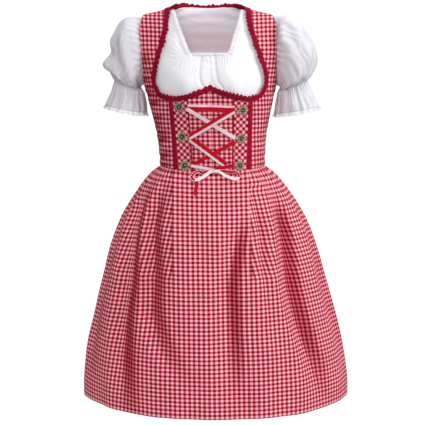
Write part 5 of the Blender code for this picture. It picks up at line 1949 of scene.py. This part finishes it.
@dataclass
class Sleeve:
    """A puff sleeve: gathered at the armhole, drawn in by elastic, with a flounce and lace below.

    Attributes:
        bodice: The bodice, for its armhole.
        side: The side it is on.
        hoops: Outer and inner ends seen from the front, half depth, and the size of the waves.
        dents: Its folds, as DENTS_RIGHT and DENTS_LEFT list them.
        root: How far outside the bodice's armhole, and how far out of it, its first rings lie.
        soft: How high its soft creases stand, and how long they are.
    """

    bodice: Bodice
    side: Side
    hoops: tuple
    dents: tuple
    seed: int
    columns: int = 252
    steps: int = 8
    waves: int = 14
    root: tuple = ((-0.0055, -0.0055), (0.0015, -0.0040))
    underarm_lift: float = 0.0100
    elastic_hoop: int = 10
    groove: float = 0.0016
    groove_height: float = 0.32
    pinch: Gathers = Gathers(0.0017, 42, 2.0)
    rising: Gathers = Gathers(0.0022, 23, 2.6)
    head: Gathers = Gathers(0.0022, 30, 2.4)
    ruffle: Gathers = Gathers(0.0007, 28, 4.0)
    soft: tuple = (0.0034, 0.042)
    cloth: float = 0.0009
    lace_width: float = 0.0100
    lace_flare: float = 0.0020
    lace_wave: float = 0.0008

    @property
    def turns(self) -> Array:
        """The places round the sleeve, as angles from its outer end by the front."""
        return TURN * np.arange(self.columns) / self.columns

    def armhole_loop(self, grow: float, outward: float) -> Array:
        """Points round the armhole.

        Args:
            grow: How far outside the bodice's armhole they lie.
            outward: How far out of the figure.

        Returns:
            The points, from the shoulder by the front and the underarm to the back.
        """
        spots = np.array(self.bodice.armhole)
        marks = FIGURE.mark_of(spots[:, 0] + grow, spots[:, 1])
        tip = FIGURE.ridge_mark(self.bodice.tip_x + grow)
        low = FIGURE.side_mark(self.bodice.underarm_z + self.underarm_lift)
        front = FIGURE.through([tip, *marks[::-1], low], self.columns // 2 + 1)
        back = front[-2:0:-1].copy()
        back[:, 0] = CENTRE_BACK - back[:, 0]
        return FIGURE.place(np.vstack([front, back]), outward)

    def ring(self, outer: tuple, inner: tuple, half_depth: float, wave: float) -> Array:
        """Points round one hoop.

        Args:
            outer: Its outer end, seen from the front.
            inner: Its inner end.
            half_depth: Half its depth.
            wave: How high its waves are.

        Returns:
            The points, from its outer end by the front to its inner end and the back.
        """
        outer, inner = (np.insert(end, 1, 0.0) for end in (outer, inner))
        centre, turn = (outer + inner) / 2, self.turns
        spoke = np.cos(turn)[:, None] * (outer - centre) - np.sin(turn)[:, None] * (0.0, half_depth, 0.0)
        lift = wave * np.cos(self.waves * turn + 1.2 * np.sin(3.0 * turn + self.seed))
        return centre + spoke + unit(spoke) * lift[:, None]

    def folds(self, rows: Array) -> Array:
        """How deep the dents are at places counted in hoops, all the way round."""
        deep = 0.0
        for row, place, tall, wide, slant, depth in self.dents:
            down = rows - row
            aside = (self.turns - place - slant * down + math.pi) % TURN - math.pi
            deep = deep + depth * np.exp(-((aside / wide) ** 2) - (down / tall) ** 2)
        return deep

    def relief(self, points: Array, rows: Array) -> Array:
        """How far gathers and creases lift the cloth.

        Args:
            points: Rings of points.
            rows: How many hoops each ring lies below the first, as a column.

        Returns:
            The lifts, in the rings' layout.
        """
        turn = self.turns
        uneven = crumple(points, 0.06, self.seed)
        off = rows - self.elastic_hoop
        pinch = np.exp(-((off / 1.3) ** 2)) * self.pinch.at(turn, uneven)
        puff = rise(-off, 0.0, 2.0) * rise(rows, 0.6, 2.6)
        rising = puff * np.exp(off / 3.4) * self.rising.at(turn, uneven)
        head = np.exp(-np.maximum(rows - 1.0, 0.0) / 1.6) * rise(rows, 0.3, 1.1)
        head = head * self.head.at(turn, uneven) * blend(0.4, 1.0, np.cos(turn / 2) ** 2)
        height, length = self.soft
        soft = height * puff * crumple(points * (1.0, 1.0, 0.7), length, self.seed + 1)
        ruffle = rise(off, 0.0, 2.0) * self.ruffle.at(turn, uneven)
        groove = self.groove * np.exp(-((off / self.groove_height) ** 2))
        return pinch + rising + head + soft + ruffle - groove - self.folds(rows)

    def turned(self, points: Array) -> Array:
        """Close the rings, mirror them for the left, and keep the cloth facing out."""
        points = np.concatenate([points, points[:, :1]], axis=1)
        return points[:, ::-1] if self.side is Side.RIGHT else points * MIRROR

    def build(self) -> None:
        """Sew the sleeve and its lace."""
        rings = [self.armhole_loop(grow, outward) for grow, outward in self.root]
        rings += [self.ring(row[:2], row[2:4], *row[4:]) for row in self.hoops]
        coarse = np.stack(rings).reshape(len(rings), -1)
        fine = curve_through(coarse, self.steps).reshape(-1, self.columns, 3)
        rows = np.arange(len(fine))[:, None] / self.steps
        around = np.roll(fine, -1, axis=1) - np.roll(fine, 1, axis=1)
        normal = unit(np.cross(np.gradient(fine, axis=0), around))
        centre = fine.mean(axis=1, keepdims=True)
        normal *= np.sign((normal * (fine - centre)).sum(axis=(1, 2), keepdims=True))
        points = fine + normal * self.relief(fine, rows)[..., None]
        whole = self.turned(points)
        name = f"sleeve_{self.side.word}"
        cloth = Sheet(name, whole, flat_of(whole), SHADED_SLEEVE_COTTON, self.cloth, closed=True)
        cloth.sew("gathered", "blouse_front")
        self.lace(points, normal)

    def lace(self, points: Array, normal: Array) -> None:
        """Sew the lace to the flounce's edge.

        Args:
            points: The sleeve's rings.
            normal: The way out of the cloth at each of their points.
        """
        way = unit(points[-1] - points[-4])
        share = np.linspace(0.0, 1.0, 7)[:, None, None]
        wave = self.lace_wave * np.cos(self.pinch.count * self.turns)[None, :, None]
        strip = points[-1] + way * self.lace_width * share + normal[-1] * share * (self.lace_flare + wave)
        whole = self.turned(strip)
        flat = pairs(lengths_along(whole, 1)[:1], share[..., 0])
        lace = Sheet(f"sleeve_lace_{self.side.word}", whole, flat, SHADED_CUFF_LACE, THIN, closed=True)
        lace.sew("gathered", f"sleeve_{self.side.word}")


# Folds of the puffs: hoop, place round it, height in hoops, width, slant for each hoop, and depth.
DENTS_RIGHT = (
    (7.2, 0.55, 0.8, 0.22, 0.10, 0.0050),
    (9.0, 1.20, 0.7, 0.16, -0.25, 0.0040),
    (8.8, 2.00, 0.9, 0.14, 0.15, 0.0035),
    (6.5, 4.10, 1.6, 0.30, 0.10, 0.0040),
)
DENTS_LEFT = (
    (5.9, 0.80, 1.0, 0.36, 0.05, 0.0115),
    (9.0, 0.55, 0.5, 0.60, 0.00, 0.0085),
    (8.4, 1.60, 1.1, 0.15, 0.20, 0.0040),
    (6.5, 4.30, 1.6, 0.30, -0.10, 0.0040),
)
SLEEVE_RIGHT = (
    (0.1780, -0.0125, 0.1680, -0.1840, 0.0530, 0.0000),
    (0.2000, -0.0145, 0.1705, -0.1860, 0.0600, 0.0008),
    (0.2215, -0.0265, 0.1715, -0.1880, 0.0640, 0.0005),
    (0.2405, -0.0460, 0.1720, -0.1900, 0.0660, 0.0000),
    (0.2565, -0.0750, 0.1720, -0.1910, 0.0660, 0.0000),
    (0.2645, -0.1050, 0.1720, -0.1920, 0.0640, 0.0005),
    (0.2610, -0.1320, 0.1715, -0.1930, 0.0600, 0.0012),
    (0.2510, -0.1530, 0.1710, -0.1940, 0.0530, 0.0018),
    (0.2400, -0.1710, 0.1690, -0.1950, 0.0445, 0.0016),
    (0.2470, -0.1900, 0.1660, -0.2090, 0.0490, 0.0015),
    (0.2565, -0.2120, 0.1615, -0.2300, 0.0550, 0.0019),
    (0.2655, -0.2315, 0.1580, -0.2510, 0.0600, 0.0023),
)
SLEEVE_LEFT = (
    (0.1800, -0.0180, 0.1680, -0.1840, 0.0530, 0.0000),
    (0.2035, -0.0170, 0.1705, -0.1860, 0.0600, 0.0008),
    (0.2180, -0.0310, 0.1715, -0.1880, 0.0640, 0.0005),
    (0.2310, -0.0520, 0.1720, -0.1900, 0.0660, 0.0000),
    (0.2410, -0.0740, 0.1720, -0.1910, 0.0660, 0.0000),
    (0.2420, -0.1020, 0.1720, -0.1920, 0.0640, 0.0005),
    (0.2600, -0.1310, 0.1715, -0.1930, 0.0600, 0.0010),
    (0.2480, -0.1520, 0.1695, -0.1940, 0.0530, 0.0012),
    (0.2355, -0.1710, 0.1665, -0.1950, 0.0445, 0.0014),
    (0.2415, -0.1900, 0.1630, -0.2090, 0.0490, 0.0014),
    (0.2500, -0.2110, 0.1605, -0.2280, 0.0550, 0.0018),
    (0.2580, -0.2290, 0.1600, -0.2480, 0.0600, 0.0022),
)


# ---- lacing, bow and buttons


@dataclass(frozen=True)
class Stretch:
    """A straight stretch of lacing ribbon, as its middle line seen from the front."""

    name: str
    start: tuple
    stop: tuple
    width: float
    layer: int
    finish: Finish


LACING = (
    Stretch("lacing_top_pale", (-0.0560, -0.2230), (0.0575, -0.2265), 0.0056, 0, PALE_SATIN),
    Stretch("lacing_top_red", (-0.0560, -0.2315), (0.0575, -0.2345), 0.0100, 0, RED_SATIN),
    Stretch("lacing_upper_down_pale", (-0.0575, -0.2310), (0.0560, -0.3040), 0.0094, 1, PALE_SATIN),
    Stretch("lacing_upper_up_red", (-0.0530, -0.2968), (0.0570, -0.2300), 0.0080, 2, RED_SATIN),
    Stretch("lacing_upper_up_pale", (-0.0530, -0.3050), (0.0570, -0.2385), 0.0062, 2, PALE_SATIN),
    Stretch("lacing_lower_down_red", (-0.0530, -0.2985), (0.0345, -0.3670), 0.0085, 1, RED_SATIN),
    Stretch("lacing_lower_down_pale", (-0.0540, -0.3085), (0.0315, -0.3750), 0.0058, 1, PALE_SATIN),
    Stretch("lacing_lower_up_red", (-0.0480, -0.3690), (0.0550, -0.3125), 0.0085, 0, RED_SATIN),
    Stretch("lacing_bottom_left", (-0.0510, -0.3710), (-0.0045, -0.3790), 0.0070, 2, PALE_SATIN),
    Stretch("lacing_bottom_right", (0.0085, -0.3780), (0.0510, -0.3700), 0.0080, 2, RED_SATIN),
)


@dataclass(frozen=True)
class Loop:
    """A ribbon of the bow: places along its middle line, each with how far it stands out."""

    name: str
    width: float
    finish: Finish
    course: tuple
    cut_end: bool = False


BOW = (
    Loop(
        "bow_loop_left_red", 0.0088, TURNED_SATIN,
        (
            (-0.0030, -0.3825, 0.0050), (-0.0150, -0.3845, 0.0058), (-0.0290, -0.3890, 0.0066),
            (-0.0430, -0.3955, 0.0066), (-0.0495, -0.4030, 0.0072), (-0.0440, -0.4090, 0.0085),
            (-0.0330, -0.4080, 0.0090), (-0.0180, -0.4010, 0.0094), (-0.0060, -0.3930, 0.0094),
            (-0.0005, -0.3875, 0.0090),
        ),
    ),
    Loop(
        "bow_loop_right_pale", 0.0078, TURNED_SATIN,
        (
            (0.0070, -0.3840, 0.0050), (0.0200, -0.3835, 0.0045), (0.0360, -0.3850, 0.0040),
            (0.0500, -0.3895, 0.0040), (0.0605, -0.3965, 0.0055), (0.0610, -0.4050, 0.0075),
            (0.0510, -0.4080, 0.0090), (0.0300, -0.4005, 0.0095), (0.0060, -0.3880, 0.0090),
        ),
    ),
    Loop(
        "bow_tail_left_red", 0.0080, RED_SATIN,
        (
            (-0.0395, -0.4060, 0.0018), (-0.0385, -0.4150, 0.0014), (-0.0400, -0.4260, 0.0014),
            (-0.0425, -0.4340, 0.0016), (-0.0430, -0.4405, 0.0022),
        ),
        cut_end=True,
    ),
)


def modelled(make: Callable, **settings: object) -> Object:
    """Add one simple solid or face, which is then picked alone."""
    bpy.ops.object.select_all(action="DESELECT")
    make(**settings)
    return bpy.context.object


@dataclass
class Ribbons:
    """The lacing and the bow.

    Attributes:
        lace_wander: How much a stretch's width varies, as a share, and how much it lifts.
        cut: How many places the slanted end of a tail takes, and how far it slants.
        knot_faces: How many faces the knot has round it and from end to end.
    """

    skirt: Skirt
    cloth: float = 0.0004
    base: float = 0.0034
    layer: float = 0.0011
    strands: int = 7
    lace_steps: int = 41
    loop_steps: int = 61
    lace_hollow: float = 0.0003
    loop_hollow: float = 0.0004
    lace_wander: tuple = (0.05, 0.0002)
    on_cloth: float = 0.0015
    cut: tuple = (8, 0.0022)
    knot: tuple = (0.0025, -0.3840)
    knot_size: tuple = (0.0068, 0.0044, 0.0056)
    knot_faces: tuple = (32, 18)
    knot_air: float = 0.0004

    def lace(self, stretch: Stretch) -> None:
        """Draw one stretch of ribbon flat over the front, hollowed a little along its middle."""
        share = np.linspace(0.0, 1.0, self.lace_steps)
        spots = blend(np.array(stretch.start), np.array(stretch.stop), share[:, None])
        marks = FIGURE.mark_of(spots[:, 0], spots[:, 1])
        across = np.linspace(-1.0, 1.0, self.strands)[:, None]
        seed = len(stretch.name) + int(1000 * stretch.width)
        wander = crumple(np.insert(spots, 2, 0.0, axis=1), 0.03, seed)
        wider, higher = self.lace_wander
        aside = across * (stretch.width / 2) * (1.0 + wider * wander)
        lift = self.base + stretch.layer * self.layer + self.lace_hollow * across**2 + higher * wander
        points = FIGURE.strip(marks, aside, lift)
        flat = pairs(lengths_along(points[self.strands // 2]), aside)
        piece = Sheet(stretch.name, points, flat, stretch.finish, self.cloth)
        piece.sew("stretched", "centre_front_left", "centre_front_right")

    def waist_front(self, x: Array, z: Array) -> tuple[Array, Array]:
        """The outer face of the cloth at the waist front.

        Args:
            x: How far right of the middle some places lie.
            z: Their heights.

        Returns:
            The points of the face there, and the way out of it.
        """
        marks = FIGURE.mark_of(x, z)
        side_z = np.minimum(z + FIGURE.waist_dip, self.skirt.top)
        angle = np.degrees(np.arcsin(x / self.skirt.table[0].at(side_z)))
        place = self.skirt.place
        around = place(angle + 1.0, side_z) - place(angle - 1.0, side_z)
        upward = place(angle, side_z + 0.002) - place(angle, side_z - 0.002)
        normal = unit(np.cross(around, upward))
        point = place(angle, side_z) + normal * self.on_cloth
        above = (z > FIGURE.waist_z - FIGURE.waist_dip)[:, None]
        on_bodice, out_bodice = FIGURE.place(marks, self.on_cloth), FIGURE.normal(marks)
        return np.where(above, on_bodice, point), np.where(above, out_bodice, normal)

    def tie(self, loop: Loop) -> None:
        """Draw a loop or a tail of the bow, standing clear of the waist."""
        course = curve_through(np.array(loop.course))
        course = spaced(course, course, self.loop_steps)
        on_cloth, normal = self.waist_front(course[:, 0], course[:, 1])
        points = on_cloth + normal * course[:, 2:]
        across = unit(np.cross(normal, np.gradient(points, axis=0)))
        flips = np.sign((across[1:] * across[:-1]).sum(axis=-1))
        across[1:] *= np.cumprod(np.where(flips < 0, -1.0, 1.0))[:, None]
        share = np.linspace(-1.0, 1.0, self.strands)[None]
        reach = share * loop.width / 2
        rows = points[:, None] + across[:, None] * reach[..., None]
        rows = rows + normal[:, None] * (self.loop_hollow * share**2)[..., None]
        if loop.cut_end:
            count, slant = self.cut
            way = unit(points[-1] - points[-6])
            rows[-count:] += way * (share * slant)[..., None] * np.linspace(0, 1, count)[:, None, None]
        flat = pairs(lengths_along(points)[:, None], reach)
        Sheet(loop.name, rows, flat, loop.finish, self.cloth).sew("folded", "bow_knot")

    def tie_knot(self) -> None:
        """Model the knot: a wrapped ribbon drawn in at both ends."""
        mark = FIGURE.mark_of(*self.knot)
        centre = FIGURE.sway(FIGURE.place(mark, self.on_cloth + self.knot_air + self.knot_size[1]))
        round_it, along = self.knot_faces
        knot = modelled(
            bpy.ops.mesh.primitive_uv_sphere_add,
            segments=round_it, ring_count=along, radius=1.0, location=tuple(centre),
        )
        knot.name = sewn("bow_knot")
        knot.scale = self.knot_size
        bpy.ops.object.transform_apply(location=True, rotation=False, scale=True)
        points = np.empty(len(knot.data.vertices) * 3)
        knot.data.vertices.foreach_get("co", points)
        off = (points.reshape(-1, 3) - centre) / self.knot_size
        fold = 1.0 + 0.07 * np.cos(9.0 * off[:, 2:] + 2.0 * off[:, :1])
        pinch = 1.0 - 0.20 * np.exp(-((off[:, :1] / 0.45) ** 2))
        moved = centre + off * fold * np.hstack([np.ones_like(pinch), pinch, pinch]) * self.knot_size
        knot.data.vertices.foreach_set("co", moved.ravel())
        knot.data.uv_layers[0].name = CLOTH_MAP
        knot.data.materials.append(PALE_SATIN.material())
        bpy.ops.object.shade_smooth()
        dress(knot, Slot.PALE, "bow_knot")

    def build(self) -> None:
        """Lace the bodice and tie the bow."""
        self.tie_knot()
        for stretch in LACING:
            self.lace(stretch)
        for loop in BOW:
            self.tie(loop)


@dataclass
class Buttons:
    """The openwork flower buttons.

    Attributes:
        places: Each button's name and its place seen from the front.
        radius: The radius over the petals.
        petals: How many petals it has.
        petal_form: How much longer, narrower and thicker a petal is than a ring.
        seed_bead: How high the small beads between the petals lie, and their radius.
        middle_bead: The same for the bead in the middle, and top_bead for the bright one on that.
    """

    places: tuple = (
        ("button_left_top", -0.0761, -0.2275),
        ("button_left_middle", -0.0710, -0.3005),
        ("button_left_bottom", -0.0663, -0.3710),
        ("button_right_top", 0.0761, -0.2355),
        ("button_right_middle", 0.0710, -0.3053),
        ("button_right_bottom", 0.0663, -0.3714),
    )
    radius: float = 0.0138
    petals: int = 10
    plate: float = 0.62
    plate_depth: float = 0.0008
    petal_reach: float = 0.72
    petal_size: float = 0.18
    petal_form: tuple = (1.30, 0.62, 1.4)
    petal_z: float = 0.0014
    wire: float = 0.00085
    seed_reach: float = 0.34
    seed_bead: tuple = (0.0016, 0.00062)
    middle_bead: tuple = (0.0016, 0.0021)
    top_bead: tuple = (0.0030, 0.0016)
    air: float = 0.0020

    def add(self, metal: Metal, make: Callable, **settings: object) -> Object:
        """Add a part of the button in its metal."""
        part = modelled(make, **settings)
        part.data.materials.append(metal.material())
        bpy.ops.object.shade_smooth()
        self.parts.append(part)
        return part

    def bead(self, metal: Metal, reach: float, turn: float, height: float, size: float) -> None:
        """Add a bead.

        Args:
            metal: Its metal.
            reach: How far out it lies.
            turn: How far round.
            height: How high.
            size: Its radius.
        """
        place = (reach * math.cos(turn), reach * math.sin(turn), height)
        sphere = bpy.ops.mesh.primitive_uv_sphere_add
        self.add(metal, sphere, segments=12, ring_count=8, radius=size, location=place)

    def petal(self, turn: float) -> None:
        """Add a petal with the beads in it and beside it."""
        reach = self.radius * self.petal_reach
        petal = self.add(
            SILVER, bpy.ops.mesh.primitive_torus_add,
            major_radius=self.radius * self.petal_size, minor_radius=self.wire,
            major_segments=24, minor_segments=8, rotation=(0, 0, turn),
            location=(reach * math.cos(turn), reach * math.sin(turn), self.petal_z),
        )
        petal.scale = self.petal_form
        bpy.ops.object.transform_apply(location=False, rotation=False, scale=True)
        self.bead(SILVER, reach, turn, self.petal_z, self.wire)
        self.bead(SILVER, self.radius * self.seed_reach, turn + math.pi / self.petals, *self.seed_bead)

    def model(self) -> Object:
        """Model one button at the origin, facing up."""
        self.parts = []
        self.add(
            TARNISH, bpy.ops.mesh.primitive_cylinder_add,
            vertices=48, radius=self.radius * self.plate, depth=self.plate_depth,
            location=(0, 0, self.plate_depth / 2),
        )
        for i in range(self.petals):
            self.petal(TURN * (i + 0.5) / self.petals)
        self.bead(SILVER, 0.0, 0.0, *self.middle_bead)
        self.bead(BRIGHT, 0.0, 0.0, *self.top_bead)
        pick(*self.parts)
        bpy.ops.object.join()
        bpy.ops.object.transform_apply(location=True, rotation=True, scale=True)
        return bpy.context.object

    def build(self) -> None:
        """Model one button and set a copy at each place."""
        first = self.model()
        for name, x, z in self.places:
            mark = FIGURE.mark_of(x, z)
            copy = placed(f"{name}_flower", first.data.copy())
            copy.data.transform(Vector(FIGURE.normal(mark)).to_track_quat("Z", "X").to_matrix().to_4x4())
            copy.location = Vector(FIGURE.sway(FIGURE.place(mark, self.air)))
            pick(copy)
            bpy.ops.object.transform_apply(location=True, rotation=False, scale=False)
            dress(copy, Slot.METAL, name)
        bpy.data.objects.remove(first, do_unlink=True)


# ---- the studio


@dataclass(frozen=True)
class Lamp:
    """A square soft light: its name, its place, its width and its power."""

    name: str
    place: tuple
    size: float
    power: float


@dataclass
class Studio:
    """The floor, the soft light and the camera.

    Attributes:
        dome_rise: How far up the surroundings start and stop to brighten, from -1 to 1.
        behind: The same for the patch behind the dress, which is as bright as behind_light.
        lamps: The lamps, which are turned to the place lit.
    """

    floor_z: float = -1.42
    floor_radius: float = 1.25
    dome: float = 1.20
    dim: float = 0.06
    dome_rise: tuple = (-0.1, 1.0)
    behind: tuple = (0.925, 0.955)
    behind_light: float = 1.05
    lamps: tuple = (
        Lamp("key", (2.05, -0.80, 0.50), 0.8, 30.0),
        Lamp("low_front", (-0.2, -2.9, -0.9), 1.2, 9.0),
        Lamp("high_front", (-0.3, -3.0, 0.8), 1.0, 28.0),
    )
    lit: tuple = (0.0, 0.0, -0.4)
    camera: tuple = (0.0125, -4.0, 0.10)
    aim: tuple = (0.0125, 0.0, -0.50)
    lens: float = 137.05
    sensor: float = 36.0

    def lay_floor(self) -> None:
        """Lay the plain pale floor."""
        floor = modelled(
            bpy.ops.mesh.primitive_circle_add,
            vertices=96, radius=self.floor_radius, fill_type="NGON", location=(0, 0, self.floor_z),
        )
        floor.name = "studio_floor"
        floor.data.materials.append(FLOOR_PAPER.material())

    def stand(self, name: str, data: ID, place: tuple, target: tuple) -> Object:
        """Put a lamp or a camera in the scene.

        Args:
            name: Its name.
            data: Its data.
            place: Where it stands.
            target: What it is turned to.

        Returns:
            The object.
        """
        made = placed(name, data)
        made.location = place
        made.rotation_euler = (Vector(target) - Vector(place)).to_track_quat("-Z", "Y").to_euler()
        return made

    def light(self) -> None:
        """Set the pale surroundings, which are brighter above, and the lamps."""
        world = bpy.data.worlds.new("studio")
        world.use_nodes = True
        bpy.context.scene.world = world
        tree = world.node_tree
        where = step(tree, "ShaderNodeTexCoord").outputs["Generated"]
        shares = []
        for way, ends in (((0.0, 0.0, 1.0), self.dome_rise), ((0.0, 1.0, 0.0), self.behind)):
            lean = step(tree, "ShaderNodeVectorMath", {0: where, 1: way}, operation="DOT_PRODUCT")
            shares.append(ease(tree, lean.outputs["Value"], *ends))
        above = calc(tree, "MULTIPLY_ADD", shares[0], self.dome, self.dim)
        bright = calc(tree, "MAXIMUM", above, calc(tree, "MULTIPLY", shares[1], self.behind_light))
        fill(tree, tree.nodes["Background"], {"Strength": bright, "Color": (1.0, 1.0, 1.0, 1.0)})
        for lamp in self.lamps:
            data = bpy.data.lights.new(lamp.name, "AREA")
            data.energy, data.size = lamp.power, lamp.size
            self.stand(lamp.name, data, lamp.place, self.lit)

    def look(self) -> None:
        """Set the camera."""
        data = bpy.data.cameras.new("camera")
        data.lens, data.sensor_width = self.lens, self.sensor
        scene = bpy.context.scene
        scene.camera = self.stand("camera", data, self.camera, self.aim)
        scene.view_settings.view_transform = "Standard"
        scene.view_settings.look = "None"

    def build(self) -> None:
        """Set up the studio."""
        self.lay_floor()
        self.light()
        self.look()


def main() -> None:
    """Dress the frame, piece by piece."""
    logging.basicConfig(level=logging.INFO, format="%(name)s: %(message)s")
    bodice, skirt = Bodice(), Skirt()
    steps = (
        ("skirt", skirt.build),
        ("bodice", bodice.build),
        ("neck trim", lambda: NeckTrim().build(bodice)),
        ("blouse", Blouse(bodice).build),
        ("left sleeve", Sleeve(bodice, Side.LEFT, SLEEVE_LEFT, DENTS_LEFT, 31).build),
        ("right sleeve", Sleeve(bodice, Side.RIGHT, SLEEVE_RIGHT, DENTS_RIGHT, 47).build),
        ("ribbons", Ribbons(skirt).build),
        ("buttons", Buttons().build),
        ("studio", Studio().build),
    )
    for name, build in steps:
        build()
        LOG.info("%s is done", name)


if __name__ == "__main__":
    main()
